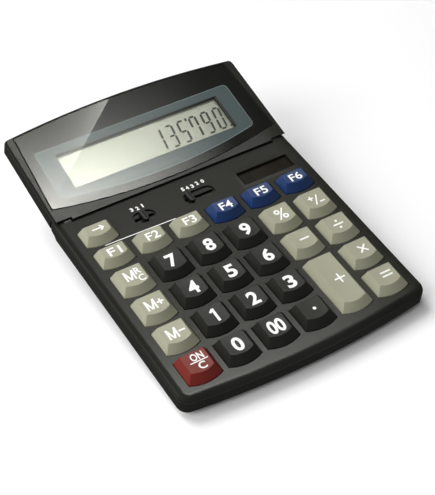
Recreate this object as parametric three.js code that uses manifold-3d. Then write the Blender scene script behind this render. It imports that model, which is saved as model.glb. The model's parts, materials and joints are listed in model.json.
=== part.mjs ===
// A desktop calculator with thirty keys and a tilting display, in millimetres.
// x runs to the right, y to the back and z up from the desk.
import * as THREE from 'three';
import * as BufferGeometryUtils from 'three/addons/utils/BufferGeometryUtils.js';
import Module from 'manifold-3d';

const wasm = await Module();
wasm.setup();

// Clearances: between two pieces, and past a face for a clean cut
const gap = 0.3;
const overrun = 6;

// Key grid, measured from the middle of the front row, between columns three and four
const columns = 6;
const columnPitch = 23;
const rowPitch = 21.3;
const functionRowPitch = 20.1;
const shiftRowPitch = 17.7;

// Key caps
const keyWidth = 19.4;
const keyDepth = 15.5;
const shortKeyDepth = 11;
const keyBow = 2.4;
const keyTopBow = 1.9;
const keyHeight = 4.45;
const keyDish = 0.45;
const keyShoulder = 0.3;
const keyEdge = 0.35;
const keySideInset = 2.9;
const keyFrontInset = 3.6;
const keyBackInset = 0.95;
const keyClearance = 0.35;
const keyFlangeWidth = 0.9;
const keyFlangeThickness = 0.9;
const keyWall = 1.2;
const keyPlungerRadius = 2;

// Case
const sideMargin = 6;
const frontMargin = 9.75;
const backMargin = 9.75;
const frontBow = 5.2;
const cornerRadius = 6;
const edgeRadius = 4.2;
const skirtEdge = 0.9;
const slabThickness = 11;
const fasciaThickness = 1.8;
const wall = 2.2;
const floorThickness = 1.5;
const keypadTilt = THREE.MathUtils.degToRad(7.17);
const frontRise = 2.5;

// Hinge between the case and the display
const earWidth = 9.8;
const earLength = 6.8;
const hingeSetback = 2.6;
const hingeDepth = 4;
const hingeSeam = 0.7;
const barrelRadius = 3;
const bumpRise = 0.5;
const bumpWidth = 4;
const earCorner = 1.2;
const pinRadius = 1.2;
const pinDepth = 7.5;
const displayTilt = THREE.MathUtils.degToRad(10);
const displayTiltUp = THREE.MathUtils.degToRad(15);

// Display unit, measured from the hinge axis along its own top and square to it
const displayTop = 5.65;
const displayThickness = 10.6;
const displayCrease = 1.9;
const displayEdge = 0.8;
const displaySideRoll = 1.8;
const displayBottomEdge = 2;
const displayDepth = 61.7;
const displayBow = 5;
const displayCorner = 2.5;
const displayWall = 2;
const displayNose = 0.93;
const displaySideStart = 3.85;
const displayLipStart = 0.6;
const displayFloor = 1.5;

// Lens over the display
const lensThickness = 1.2;
const lensFrontHalf = 72;
const lensBackHalf = 69;
const lensFront = 1.3;
const lensFrontBow = 7.7;
const lensRim = 1.6;

// Liquid crystal glass and what carries it
const glassThickness = 1.8;
const glassWidth = 112;
const glassDepth = 32;
const glassX = -1.85;
const glassY = 28.25;
const glassSideMargin = 3.15;
const glassFrontMargin = 2.75;
const holderWall = 1.2;
const holderFloor = 0.8;
const stripInset = 6;
const stripDepth = 2;
const displayBoardThickness = 1;
const displayStakeSpread = 10;

// Wedge under the case, and its feet
const wedgeInset = 13;
const wedgeFrontY = -8;
const wedgeTail = 15;
const wedgeRise = 1.8;
const wedgeWall = 1.8;
const footRadius = 5;
const footHeight = 2.2;
const footInset = 9;

// Keypad sheet, main board and cable
const sheetThickness = 1;
const sheetMargin = 1.2;
const domeHeight = 1.9;
const domeRadius = 4;
const domeTopRadius = 2.4;
const boardThickness = 1.6;
const bossZone = 9;
const blobRadius = 7;
const blobHeight = 0.8;
const cableWidth = 20;
const cableThickness = 0.4;
const cableRun = 5;

// Screws, and the moulded stakes that carry the boards
const screwInset = 4.8;
const screwRadius = 1;
const screwHeadRadius = 1.9;
const screwHeadHeight = 1.2;
const stakeHeadHeight = 0.7;
const bossRadius = 2;
const lowerBossRadius = 3.1;
const screwSeat = 1.2;
const boardStakeFrontX = 34.5;
const boardStakeBackX = 41;

// Slide switches
const pocketDepth = 1;
const pocketRadius = 4.2;
const knobLength = 3.3;
const knobRise = 1.9;
const knobRidge = 0.5;
const stemSize = 1.4;
const knobFootSize = 5;
const knobFootThickness = 0.9;
const roundingPocketX = -29.2;
const roundingPocketLength = 13.8;
const roundingKnobX = -29.5;
const decimalPocketX = 5.7;
const decimalPocketLength = 19.8;
const decimalKnobX = -0.3;

// Solar window
const solarX = 48.4;
const solarSetback = 1.65;
const solarWidth = 36;
const solarDepth = 12.5;
const solarRim = 1.2;
const solarRimRise = 0.5;
const solarRimSlope = 1;
const solarLedge = 0.9;
const solarRecess = 1;
const solarPlate = 0.8;
const solarCellThickness = 1;
const solarLeadSize = 0.8;
const solarLeadSpread = 12;

// Button cell and its compartment
const cellRadius = 10;
const cellHeight = 3.2;
const cellRimSize = 0.8;
const cellY = 96;
const doorWidth = 30;
const doorDepth = 27;
const lugWidth = 8;
const lugLength = 1;
const lugThickness = 0.8;
const gripDepth = 2.4;
const contactThickness = 0.4;
const contactWidth = 4;

// Facets
const arcSteps = 6;
const cornerSteps = 6;
const rollSteps = 6;
const plungerSides = 8;
const pinSides = 12;
const postSides = 16;
const barrelSides = 24;

// Worked out from the sizes above
const caseHalf = columns / 2 * columnPitch + sideMargin;
const rowY = [0, 1, 2, 3].map((row) => row * rowPitch);
const functionRowY = rowY[3] + functionRowPitch;
const shiftRowY = functionRowY + shiftRowPitch;
const frontReach = keyDepth / 2 + keyBow + frontMargin;
const seamY = shiftRowY + shortKeyDepth / 2 + backMargin;
const earInner = caseHalf - earWidth;
const earEnd = seamY + earLength;
const parting = -edgeRadius;
const frontDrop = slabThickness * Math.cos(keypadTilt) + frontReach * Math.sin(keypadTilt);
const deckHeight = frontRise + frontDrop;
const hingeY = seamY + hingeSetback;
const hingeZ = -hingeDepth;
const wallBack = hingeY - barrelRadius - gap;
const hollowBack = wallBack - floorThickness;
const flangeTop = -fasciaThickness - gap;
const flangeBottom = flangeTop - keyFlangeThickness;
const sheetTop = flangeBottom - gap - domeHeight;
const sheetBottom = sheetTop - sheetThickness;
const boardTop = sheetBottom - gap;
const boardBottom = boardTop - boardThickness;
const floorTop = floorThickness - slabThickness;
const holeRadius = screwRadius + gap;
const headHoleRadius = screwHeadRadius + gap;
const boreRadius = pinRadius + gap;
const earRadius = hingeDepth + bumpRise;
const seatRadius = earRadius + gap;

// Shapes

// Height of a bowed edge over the ends of its chord
function bowAt(x, halfWidth, bow) {
  const radius = (halfWidth * halfWidth + bow * bow) / (2 * bow);
  return Math.sqrt(radius * radius - x * x) - (radius - bow);
}

function point(x, y) {
  return new THREE.Vector2(x, y);
}

// Points on an arc round a centre
function arc(x, y, radius, startAngle, sweep, steps = cornerSteps) {
  const points = [];
  for (let step = 0; step <= steps; step += 1) {
    const angle = startAngle + sweep * step / steps;
    points.push(point(x + radius * Math.cos(angle), y + radius * Math.sin(angle)));
  }
  return points;
}

// Points between two x places, each at the height that the bow has there
function bowed(fromX, toX, heightAt, steps = arcSteps) {
  const points = [];
  for (let step = 0; step <= steps; step += 1) {
    const x = fromX + (toX - fromX) * step / steps;
    points.push(point(x, heightAt(x)));
  }
  return points;
}

function mirrored(points) {
  return points.map((each) => point(-each.x, each.y)).reverse();
}

function extruded(points, bottom, top) {
  const geometry = new THREE.ExtrudeGeometry(new THREE.Shape(points), {
    depth: top - bottom,
    bevelEnabled: false,
  });
  return geometry.translate(0, 0, bottom);
}

// A profile in y and z, extruded along x
function profiled(points, left, right) {
  const yzx = new THREE.Matrix4().makeBasis(
    new THREE.Vector3(0, 1, 0),
    new THREE.Vector3(0, 0, 1),
    new THREE.Vector3(1, 0, 0),
  );
  return extruded(points, left, right).applyMatrix4(yzx);
}

// Stacked rings of equal point counts, each with a height for its points
function lofted(rings) {
  const first = rings[0].points;
  const geometry = new THREE.ExtrudeGeometry(new THREE.Shape(first), {
    depth: rings.length - 1,
    steps: rings.length - 1,
    bevelEnabled: false,
  });
  const position = geometry.attributes.position;
  for (let vertex = 0; vertex < position.count; vertex += 1) {
    const here = point(position.getX(vertex), position.getY(vertex));
    const ring = rings[Math.round(position.getZ(vertex))];
    const distances = first.map((each) => each.distanceToSquared(here));
    const moved = ring.points[distances.indexOf(Math.min(...distances))];
    position.setXYZ(vertex, moved.x, moved.y, ring.height(moved));
  }
  return geometry;
}

function flat(value) {
  return () => value;
}

function block(left, right, front, back, bottom, top) {
  const geometry = new THREE.BoxGeometry(right - left, back - front, top - bottom);
  return geometry.translate((left + right) / 2, (front + back) / 2, (bottom + top) / 2);
}

function blockAt(x, y, width, depth, bottom, top) {
  return block(x - width / 2, x + width / 2, y - depth / 2, y + depth / 2, bottom, top);
}

function post(x, y, radius, bottom, top, sides = postSides) {
  const geometry = new THREE.CylinderGeometry(radius, radius, top - bottom, sides);
  return geometry.rotateX(Math.PI / 2).translate(x, y, (bottom + top) / 2);
}

function rod(y, z, radius, left, right, sides = pinSides) {
  const geometry = new THREE.CylinderGeometry(radius, radius, right - left, sides);
  return geometry.rotateZ(Math.PI / 2).translate((left + right) / 2, y, z);
}

// The same on the left and on the right, between two distances from the middle
function onBothSides(make, inner, outer) {
  return [make(-outer, -inner), make(inner, outer)];
}

// Solids

function solid(geometry) {
  const bare = geometry.index ? geometry.toNonIndexed() : geometry.clone();
  bare.deleteAttribute('normal');
  bare.deleteAttribute('uv');
  const merged = BufferGeometryUtils.mergeVertices(bare);
  return new wasm.Manifold(new wasm.Mesh({
    numProp: 3,
    vertProperties: new Float32Array(merged.attributes.position.array),
    triVerts: new Uint32Array(merged.index.array),
  }));
}

function join(body, geometries) {
  return geometries.reduce((whole, geometry) => whole.add(solid(geometry)), body);
}

function cut(body, geometries) {
  return geometries.reduce((rest, geometry) => rest.subtract(solid(geometry)), body);
}

function together(geometries) {
  return join(solid(geometries[0]), geometries.slice(1));
}

function surfaceOf(body) {
  const mesh = body.getMesh();
  const geometry = new THREE.BufferGeometry();
  const positions = new Float32Array(mesh.vertProperties);
  geometry.setAttribute('position', new THREE.BufferAttribute(positions, 3));
  geometry.setIndex(new THREE.BufferAttribute(new Uint32Array(mesh.triVerts), 1));
  geometry.computeVertexNormals();
  return geometry;
}

// Materials
function finish(color, roughness, metalness = 0) {
  return new THREE.MeshStandardMaterial({ color, roughness, metalness });
}

const casePlastic = finish(0x2c2b28, 0.45);
const blackKeyPlastic = finish(0x242421, 0.4);
const beigeKeyPlastic = finish(0xb9b9a5, 0.45);
const blueKeyPlastic = finish(0x142d6e, 0.4);
const redKeyPlastic = finish(0xa02d2a, 0.4);
const knobPlastic = finish(0x1a1a19, 0.4);
const lensPlastic = finish(0x1c1d1d, 0.08);
const clearPlastic = finish(0x3a332b, 0.1);
const cellGlass = finish(0x2b1d14, 0.25);
const lcdGlass = finish(0xd3d5c6, 0.2);
const whitePlastic = finish(0xd8d8d4, 0.5);
const silicone = finish(0x8f9390, 0.8);
const contactRubber = finish(0x55575a, 0.8);
const boardLaminate = finish(0x2f6b3a, 0.5);
const footRubber = finish(0x1b1b1a, 0.9);
const steel = finish(0xb8b9ba, 0.35, 1);
const cableFilm = finish(0xc08a3a, 0.5);

// Scene graph: the deck leans on the desk, and the display leans on the deck
const calculator = new THREE.Group();
const deck = new THREE.Group();
const display = new THREE.Group();
deck.rotation.x = keypadTilt;
deck.position.z = deckHeight;
display.rotation.x = displayTilt;
display.position.set(0, hingeY, hingeZ);
deck.add(display);
calculator.add(deck);

function addPiece(group, name, body, material) {
  const mesh = new THREE.Mesh(surfaceOf(body), material);
  mesh.name = name;
  group.add(mesh);
}

// Height in the deck's frame of a point that stands a given height over the desk
function overDesk(y, height) {
  return (height - deckHeight - y * Math.sin(keypadTilt)) / Math.cos(keypadTilt);
}

// A shape that is level with the desk, in the deck's frame
function levelInDeck(geometry) {
  deck.updateMatrix();
  return geometry.applyMatrix4(deck.matrix.clone().invert());
}

// Key caps

// Outline of a cap, wound from its front left corner, with its front edge bowed forwards
function keyOutline(halfWidth, front, back, bow = keyBow) {
  const frontEdge = bowed(-halfWidth, halfWidth, (x) => front - bowAt(x, halfWidth, bow));
  return [...frontEdge, point(halfWidth, back), point(-halfWidth, back)];
}

function keyRing(depth, side, front, back, height, bow) {
  return { points: keyOutline(keyWidth / 2 - side, front - depth / 2, depth / 2 - back, bow), height };
}

// A ring that lies a share of the way up the four slopes, moved in by a wall
function keySlopeRing(depth, share, thickness, height) {
  const side = keySideInset * share + thickness;
  const front = keyFrontInset * share + thickness;
  const back = keyBackInset * share + thickness;
  return keyRing(depth, side, front, back, height, THREE.MathUtils.lerp(keyBow, keyTopBow, share));
}

// The hollow under a cap, open at the bottom
function keyHollow(depth) {
  const roof = keyHeight - keyDish - keyWall;
  const roofShare = (roof - keyShoulder) / (keyHeight - keyShoulder);
  return lofted([
    keySlopeRing(depth, 0, keyWall, flat(flangeBottom - overrun)),
    keySlopeRing(depth, 0, keyWall, flat(keyShoulder)),
    keySlopeRing(depth, roofShare, keyWall, flat(roof)),
  ]);
}

// A cap with a flange under the fascia, a short upright wall, four slopes, a dished top and a plunger
function keyCap(depth) {
  const topOf = (place) => keyHeight - keyDish * (depth / 2 - place.y) / depth;
  const rimOf = (place) => topOf(place) - keyEdge;
  const rimShare = 0.88;
  const reach = -keyFlangeWidth;
  const shell = solid(lofted([
    keyRing(depth, reach, reach, reach, flat(flangeBottom)),
    keyRing(depth, reach, reach, reach, flat(flangeTop)),
    keySlopeRing(depth, 0, 0, flat(flangeTop)),
    keySlopeRing(depth, 0, 0, flat(keyShoulder)),
    keySlopeRing(depth, rimShare, 0, rimOf),
    keySlopeRing(depth, 1, 0, topOf),
  ]));
  const plunger = post(0, 0, keyPlungerRadius, flangeBottom, keyHeight - keyWall, plungerSides);
  return join(cut(shell, [keyHollow(depth)]), [plunger]);
}

function columnX(column) {
  return (column - (columns - 1) / 2) * columnPitch;
}

// Keys of one row, from the left column on, each with its name and material
function keyRow(y, depth, row) {
  return row.flatMap(([name, material], column) => (
    name ? [{ name, x: columnX(column), y, depth, material }] : []
  ));
}

const noKey = [];
const plusKey = {
  name: 'key_plus',
  x: columnX(columns - 2),
  y: (rowY[0] + rowY[1]) / 2,
  depth: rowPitch + keyDepth,
  material: beigeKeyPlastic,
};

const keys = [
  ...keyRow(rowY[0], keyDepth, [
    ['key_on_clear', redKeyPlastic],
    ['key_0', blackKeyPlastic],
    ['key_double_zero', blackKeyPlastic],
    ['key_point', blackKeyPlastic],
    noKey,
    ['key_equals', beigeKeyPlastic],
  ]),
  plusKey,
  ...keyRow(rowY[1], keyDepth, [
    ['key_memory_minus', beigeKeyPlastic],
    ['key_1', blackKeyPlastic],
    ['key_2', blackKeyPlastic],
    ['key_3', blackKeyPlastic],
    noKey,
    ['key_multiply', beigeKeyPlastic],
  ]),
  ...keyRow(rowY[2], keyDepth, [
    ['key_memory_plus', beigeKeyPlastic],
    ['key_4', blackKeyPlastic],
    ['key_5', blackKeyPlastic],
    ['key_6', blackKeyPlastic],
    ['key_minus', beigeKeyPlastic],
    ['key_divide', beigeKeyPlastic],
  ]),
  ...keyRow(rowY[3], keyDepth, [
    ['key_memory_recall', beigeKeyPlastic],
    ['key_7', blackKeyPlastic],
    ['key_8', blackKeyPlastic],
    ['key_9', blackKeyPlastic],
    ['key_percent', beigeKeyPlastic],
    ['key_sign_change', beigeKeyPlastic],
  ]),
  ...keyRow(functionRowY, shortKeyDepth, [
    ['key_function_1', beigeKeyPlastic],
    ['key_function_2', beigeKeyPlastic],
    ['key_function_3', beigeKeyPlastic],
    ['key_function_4', blueKeyPlastic],
    ['key_function_5', blueKeyPlastic],
    ['key_function_6', blueKeyPlastic],
  ]),
  ...keyRow(shiftRowY, shortKeyDepth, [['key_backspace', beigeKeyPlastic]]),
];

function addKeys() {
  for (const { name, x, y, depth, material } of keys) {
    addPiece(deck, name, keyCap(depth).translate([x, y, 0]), material);
  }
}

// Openings in the fascia that the caps pass through
function keyOpenings() {
  return keys.map(({ x, y, depth }) => {
    const half = keyWidth / 2 + keyClearance;
    const reach = depth / 2 + keyClearance;
    const opening = extruded(keyOutline(half, -reach, reach), flangeTop, overrun);
    return opening.translate(x, y, 0);
  });
}

// Outline of the case

// The bowed front edge and its two corners, at an inset from the skirt
function frontOutline(inset) {
  const half = caseHalf - inset;
  const corner = Math.max(cornerRadius - inset, gap);
  const frontAt = (x) => inset + frontBow - frontReach - bowAt(x, caseHalf, frontBow);
  const cornerX = half - corner;
  const cornerY = frontAt(cornerX) + corner;
  const right = arc(cornerX, cornerY, corner, -Math.PI / 2, Math.PI / 2);
  const front = bowed(-cornerX, cornerX, frontAt, arcSteps + arcSteps).slice(1, -1);
  return { left: mirrored(right), front, right };
}

// Back of the ears: round about the hinge above it, so that the display can turn close to them
function earBack(inset, height) {
  if (height < hingeZ) {
    return earEnd - inset;
  }
  const rise = height - hingeZ;
  return Math.min(earEnd, hingeY + Math.sqrt(earRadius * earRadius - rise * rise));
}

// The whole outline with its two ears; the seam between the ears keeps its place
function caseOutline(inset, height) {
  const { left, front, right } = frontOutline(inset);
  const half = caseHalf - inset;
  const back = earBack(inset, height);
  const corner = Math.max(earCorner - inset, gap);
  const ear = [
    ...arc(half - corner, back - corner, corner, 0, Math.PI / 2),
    point(earInner, back),
    point(earInner, seamY),
  ];
  return [...left, ...front, ...right, ...ear, ...mirrored(ear)];
}

// The hollow inside, which stops short of the ears
function hollowOutline(inset) {
  const { left, front, right } = frontOutline(inset);
  const half = caseHalf - inset;
  return [...left, ...front, ...right, point(half, hollowBack), point(-half, hollowBack)];
}

function caseRing(inset, height) {
  return { points: caseOutline(inset, height), height: flat(height) };
}

// Screws through the two halves of the case, one near each corner
const caseScrewX = caseHalf - screwInset;
const caseScrewFrontY = cornerRadius + lowerBossRadius + gap + gap - frontReach;
const caseScrewBackY = hollowBack - lowerBossRadius - gap;
const caseScrewPlaces = [
  ['case_screw_front_left', -caseScrewX, caseScrewFrontY],
  ['case_screw_front_right', caseScrewX, caseScrewFrontY],
  ['case_screw_back_left', -caseScrewX, caseScrewBackY],
  ['case_screw_back_right', caseScrewX, caseScrewBackY],
];
const lowerBossTop = boardTop - gap;
const screwSeatZ = lowerBossTop - screwSeat;

// Stakes that hold the main board: two in front of the keys and two behind the switches
const boardStakeFrontY = wall + bossRadius + gap + frontBow / 3 - frontReach;
const boardStakeBackY = hollowBack - bossRadius - bossRadius;
const boardStakePlaces = [-1, 1].flatMap((side) => [
  [side * boardStakeFrontX, boardStakeFrontY],
  [side * boardStakeBackX, boardStakeBackY],
]);

// Slide switches
const pocketY = shiftRowY;

// Outline of a pocket with round ends
function pocketOutline(x, length) {
  const reach = length / 2 - pocketRadius;
  return [
    ...arc(x + reach, pocketY, pocketRadius, -Math.PI / 2, Math.PI, arcSteps),
    ...arc(x - reach, pocketY, pocketRadius, Math.PI / 2, Math.PI, arcSteps),
  ];
}

// A pocket for the knob, with a groove for its stem through the floor
function switchPocket(x, length) {
  const groove = length - knobLength + stemSize;
  return [
    extruded(pocketOutline(x, length), -pocketDepth, overrun),
    blockAt(x, pocketY, groove, stemSize + gap + gap, flangeTop, overrun),
  ];
}

// A ridged knob on a stem, with a foot under the fascia
function switchKnob(x) {
  const knobBottom = gap - pocketDepth;
  const depth = pocketRadius + pocketRadius;
  const grip = solid(blockAt(x, pocketY, knobLength, depth, knobBottom, knobRise));
  const round = post(x, pocketY, pocketRadius - gap - gap, knobBottom, knobRise, barrelSides);
  const body = join(grip.intersect(solid(round)), [
    blockAt(x, pocketY, stemSize, stemSize, flangeTop - knobFootThickness / 2, knobBottom + gap),
    blockAt(x, pocketY, knobFootSize, knobFootSize, flangeTop - knobFootThickness, flangeTop),
  ]);
  const groove = blockAt(x, pocketY, knobLength / 3, depth, knobRise - knobRidge, overrun);
  return cut(body, [groove]);
}

// Solar window: a rim on the fascia, a recess, and a clear plate on a ledge over the cell
const solarY = shiftRowY - solarSetback;
const solarPlateTop = -solarRecess;
const solarLedgeZ = solarPlateTop - solarPlate - gap;
const solarFrameBottom = solarLedgeZ - floorThickness;
const solarWellWidth = solarWidth - solarRim - solarRim;
const solarWellDepth = solarDepth - solarRim - solarRim;
const solarThroughWidth = solarWellWidth - solarLedge - solarLedge;
const solarThroughDepth = solarWellDepth - solarLedge - solarLedge;

function solarRimRing(grow, height) {
  const half = solarWidth / 2 + grow;
  const reach = solarDepth / 2 + grow;
  const points = [
    point(solarX - half, solarY - reach),
    point(solarX + half, solarY - reach),
    point(solarX + half, solarY + reach),
    point(solarX - half, solarY + reach),
  ];
  return { points, height: flat(height) };
}

function solarFrame() {
  return [
    blockAt(solarX, solarY, solarWidth, solarDepth, solarFrameBottom, solarRimRise / 2),
    lofted([
      solarRimRing(solarRimSlope, -fasciaThickness / 2),
      solarRimRing(solarRimSlope, 0),
      solarRimRing(0, solarRimRise),
    ]),
  ];
}

function solarHoles() {
  return [
    blockAt(solarX, solarY, solarWellWidth, solarWellDepth, solarLedgeZ, overrun),
    blockAt(solarX, solarY, solarThroughWidth, solarThroughDepth, -overrun, overrun),
  ];
}

function solarWindow() {
  const width = solarWellWidth - gap - gap;
  const depth = solarWellDepth - gap - gap;
  return solid(blockAt(solarX, solarY, width, depth, solarPlateTop - solarPlate, solarPlateTop));
}

// The cell under the frame, with two leads down to the main board
function solarCell() {
  const top = solarFrameBottom - gap;
  const bottom = top - solarCellThickness;
  const leads = [-1, 1].map((side) => blockAt(
    solarX + side * solarLeadSpread,
    solarY,
    solarLeadSize,
    solarLeadSize,
    boardTop + gap,
    top - solarCellThickness / 2,
  ));
  return together([blockAt(solarX, solarY, solarWidth, solarDepth, bottom, top), ...leads]);
}

// Bores for the two hinge pins, and the slot for the cable between them
const pinInner = earInner - hingeSeam - pinDepth;
const pinOuter = earInner + pinDepth;

function pinBores() {
  const make = (left, right) => rod(hingeY, hingeZ, boreRadius, left, right);
  return onBothSides(make, pinInner - gap, pinOuter + gap);
}

function cableSlot() {
  const half = cableWidth / 2 + gap + gap;
  const reach = cableThickness + gap + gap;
  return block(-half, half, hollowBack - gap, hingeY, hingeZ - reach, hingeZ + reach);
}

// A boss over a board, with a pin through the board and a melted head under it
function stake(x, y, plateTop, plateBottom, top) {
  const seat = plateBottom - gap;
  return [
    post(x, y, bossRadius, plateTop + gap, top),
    post(x, y, screwRadius, seat - stakeHeadHeight / 2, plateTop + gap + gap, pinSides),
    post(x, y, screwHeadRadius, seat - stakeHeadHeight, seat, pinSides),
  ];
}

// Upper case

function upperShell() {
  const rings = [];
  for (let step = 0; step <= rollSteps; step += 1) {
    const angle = Math.PI / 2 * step / rollSteps;
    rings.push(caseRing(edgeRadius * (1 - Math.cos(angle)), parting + edgeRadius * Math.sin(angle)));
  }
  const bump = (left, right) => rod(hingeY, hingeZ, hingeDepth + bumpRise, left, right, barrelSides);
  const shell = join(solid(lofted(rings)), onBothSides(bump, earInner, earInner + bumpWidth));
  return cut(shell, [
    extruded(hollowOutline(wall), parting - overrun, -fasciaThickness),
    block(-earInner, earInner, wallBack, earEnd, parting - overrun, -fasciaThickness),
    block(-caseHalf, caseHalf, hollowBack, earEnd + overrun, parting - overrun, parting),
  ]);
}

function upperCase() {
  const inFascia = -fasciaThickness / 2;
  const caseBosses = caseScrewPlaces.map(([, x, y]) => post(x, y, bossRadius, boardTop, inFascia));
  const pilots = caseScrewPlaces.map(
    ([, x, y]) => post(x, y, holeRadius, boardTop - overrun, -fasciaThickness, pinSides),
  );
  const stakes = boardStakePlaces.flatMap(([x, y]) => stake(x, y, boardTop, boardBottom, inFascia));
  const body = join(upperShell(), [...caseBosses, ...stakes, ...solarFrame()]);
  return cut(body, [
    ...keyOpenings(),
    ...switchPocket(roundingPocketX, roundingPocketLength),
    ...switchPocket(decimalPocketX, decimalPocketLength),
    ...solarHoles(),
    ...pilots,
    ...pinBores(),
    cableSlot(),
  ]);
}

// Lower case

const wedgeHalf = caseHalf - wedgeInset;
const wedgeBackY = wallBack + wedgeTail;

// Section of the wedge, or of the hollow in it at an inset from its faces
function wedgeSection(inset, top) {
  const front = wedgeFrontY + inset;
  const back = wedgeBackY - inset;
  const height = wedgeRise + inset;
  const tailTop = -slabThickness - inset;
  return [
    point(front, overDesk(front, height)),
    point(back, overDesk(back, height)),
    point(back, tailTop),
    point(wallBack - inset, tailTop),
    point(wallBack - inset, top),
    point(front, top),
  ];
}

// What the rounded nose of the ears leaves off the skirt behind and under it
function earUndercut() {
  const nose = arc(hingeY, hingeZ, edgeRadius, 0, -Math.PI / 2, arcSteps);
  const low = -slabThickness - overrun;
  const far = earEnd + overrun;
  const corners = [
    point(wallBack, -slabThickness),
    point(wallBack, low),
    point(far, low),
    point(far, hingeZ),
  ];
  return profiled([...nose, ...corners], -caseHalf - overrun, caseHalf + overrun);
}

function lowerShell() {
  const skirt = solid(lofted([
    caseRing(skirtEdge, -slabThickness),
    caseRing(0, skirtEdge - slabThickness),
    caseRing(0, parting - gap),
  ]));
  const trimmed = cut(skirt, [
    block(-earInner, earInner, wallBack, earEnd + overrun, -slabThickness - overrun, overrun),
    earUndercut(),
  ]);
  const wedge = profiled(wedgeSection(0, floorTop), -wedgeHalf, wedgeHalf);
  const inner = wedgeHalf - wedgeWall;
  return cut(join(trimmed, [wedge]), [
    extruded(hollowOutline(wall), floorTop, overrun),
    profiled(wedgeSection(wedgeWall, overrun), -inner, inner),
  ]);
}

// Battery well: a box on the floor of the wedge, level with the desk, open at the bottom
const doorTop = wedgeRise + wedgeWall;
const cellBottom = doorTop + gap;
const wellHeight = cellBottom + cellHeight + gap + contactThickness + gap;

function wellWalls() {
  const width = doorWidth + wedgeWall + wedgeWall;
  const depth = doorDepth + wedgeWall + wedgeWall;
  return levelInDeck(blockAt(0, cellY, width, depth, wedgeRise, wellHeight + wedgeWall));
}

// Recesses that the lugs of the battery door snap into
function lugRecess() {
  const depth = doorDepth + lugLength + lugLength;
  const bottom = doorTop - lugThickness - gap;
  return levelInDeck(blockAt(0, cellY, lugWidth + gap + gap, depth, bottom, doorTop + gap));
}

function contactSlots() {
  const size = contactWidth + gap + gap;
  const reach = cellRadius + gap + contactThickness / 2;
  const slotDepth = contactThickness + gap + gap;
  return [-1, 1].map((side) => levelInDeck(
    blockAt(side * reach, cellY, slotDepth, size, wellHeight - gap, wellHeight + overrun),
  ));
}

const footX = wedgeHalf - footInset;
const footFrontY = wedgeFrontY + footInset;
const footBackY = wedgeBackY - footInset;
const footPlaces = [
  ['foot_front_left', -footX, footFrontY],
  ['foot_front_right', footX, footFrontY],
  ['foot_back_left', -footX, footBackY],
  ['foot_back_right', footX, footBackY],
];

function lowerCase() {
  const bosses = caseScrewPlaces.map(
    ([, x, y]) => post(x, y, lowerBossRadius, skirtEdge - slabThickness, lowerBossTop),
  );
  const shafts = caseScrewPlaces.map(
    ([, x, y]) => post(x, y, holeRadius, -slabThickness, overrun, pinSides),
  );
  const heads = caseScrewPlaces.map(
    ([, x, y]) => post(x, y, headHoleRadius, -slabThickness - overrun, screwSeatZ),
  );
  const footSeats = footPlaces.map(
    ([, x, y]) => levelInDeck(post(x, y, footRadius + gap, wedgeRise - overrun, footHeight + gap)),
  );
  return cut(join(lowerShell(), [...bosses, wellWalls()]), [
    ...shafts,
    ...heads,
    ...footSeats,
    ...contactSlots(),
    levelInDeck(blockAt(0, cellY, doorWidth, doorDepth, wedgeRise - overrun, wellHeight)),
    lugRecess(),
    ...pinBores(),
    cableSlot(),
  ]);
}

// Feet, button cell, contacts and battery door, level with the desk

function addFeet() {
  for (const [name, x, y] of footPlaces) {
    addPiece(calculator, name, solid(post(x, y, footRadius, 0, footHeight)), footRubber);
  }
}

function buttonCell() {
  const rim = cellRadius - cellRimSize;
  const profile = [
    point(0, 0),
    point(rim, 0),
    point(rim, cellRimSize),
    point(cellRadius, cellRimSize),
    point(cellRadius, cellHeight),
    point(0, cellHeight),
  ];
  const can = new THREE.LatheGeometry(profile, barrelSides).rotateX(Math.PI / 2);
  return solid(can.translate(0, cellY, cellBottom));
}

// Height over the desk of a point of the deck's frame
function heightOf(y, z) {
  return deckHeight + y * Math.sin(keypadTilt) + z * Math.cos(keypadTilt);
}

// A strip from a given height beside the cell, through the well's slot, to just under the main board
function contactStrap(side, bottom) {
  const x = side * (cellRadius + gap + contactThickness / 2);
  const top = heightOf(cellY - contactWidth / 2, boardBottom - gap);
  return blockAt(x, cellY, contactThickness, contactWidth, bottom, top);
}

// The negative contact has a tongue over the top of the cell
function negativeContact() {
  const bottom = cellBottom + cellHeight + gap;
  const left = -cellRadius - gap - contactThickness;
  const half = contactWidth / 2;
  const top = bottom + contactThickness;
  const tongue = block(left, cellRadius / 2, cellY - half, cellY + half, bottom, top);
  return together([contactStrap(-1, bottom), tongue]);
}

// The door fills its opening, with a lug at the front and at the back and a groove for a fingertip
function batteryDoor() {
  const depth = doorDepth - gap - gap;
  const body = together([
    blockAt(0, cellY, doorWidth - gap - gap, depth, wedgeRise, doorTop),
    blockAt(0, cellY, lugWidth, depth + lugLength + lugLength, doorTop - lugThickness, doorTop),
  ]);
  const gripY = cellY - doorDepth / 3;
  return cut(body, [blockAt(0, gripY, doorWidth / 3, gripDepth, 0, wedgeRise + gap + gap)]);
}

// Keypad sheet, main board and cable

const boardHalf = caseHalf - bossZone;
const boardFrontY = boardStakeFrontY - bossRadius;
const boardBackY = hollowBack - gap - gap;

function dome(x, y) {
  const height = domeHeight + sheetThickness / 2;
  const geometry = new THREE.CylinderGeometry(domeTopRadius, domeRadius, height, pinSides);
  return geometry.rotateX(Math.PI / 2).translate(x, y, sheetTop + domeHeight - height / 2);
}

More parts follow.
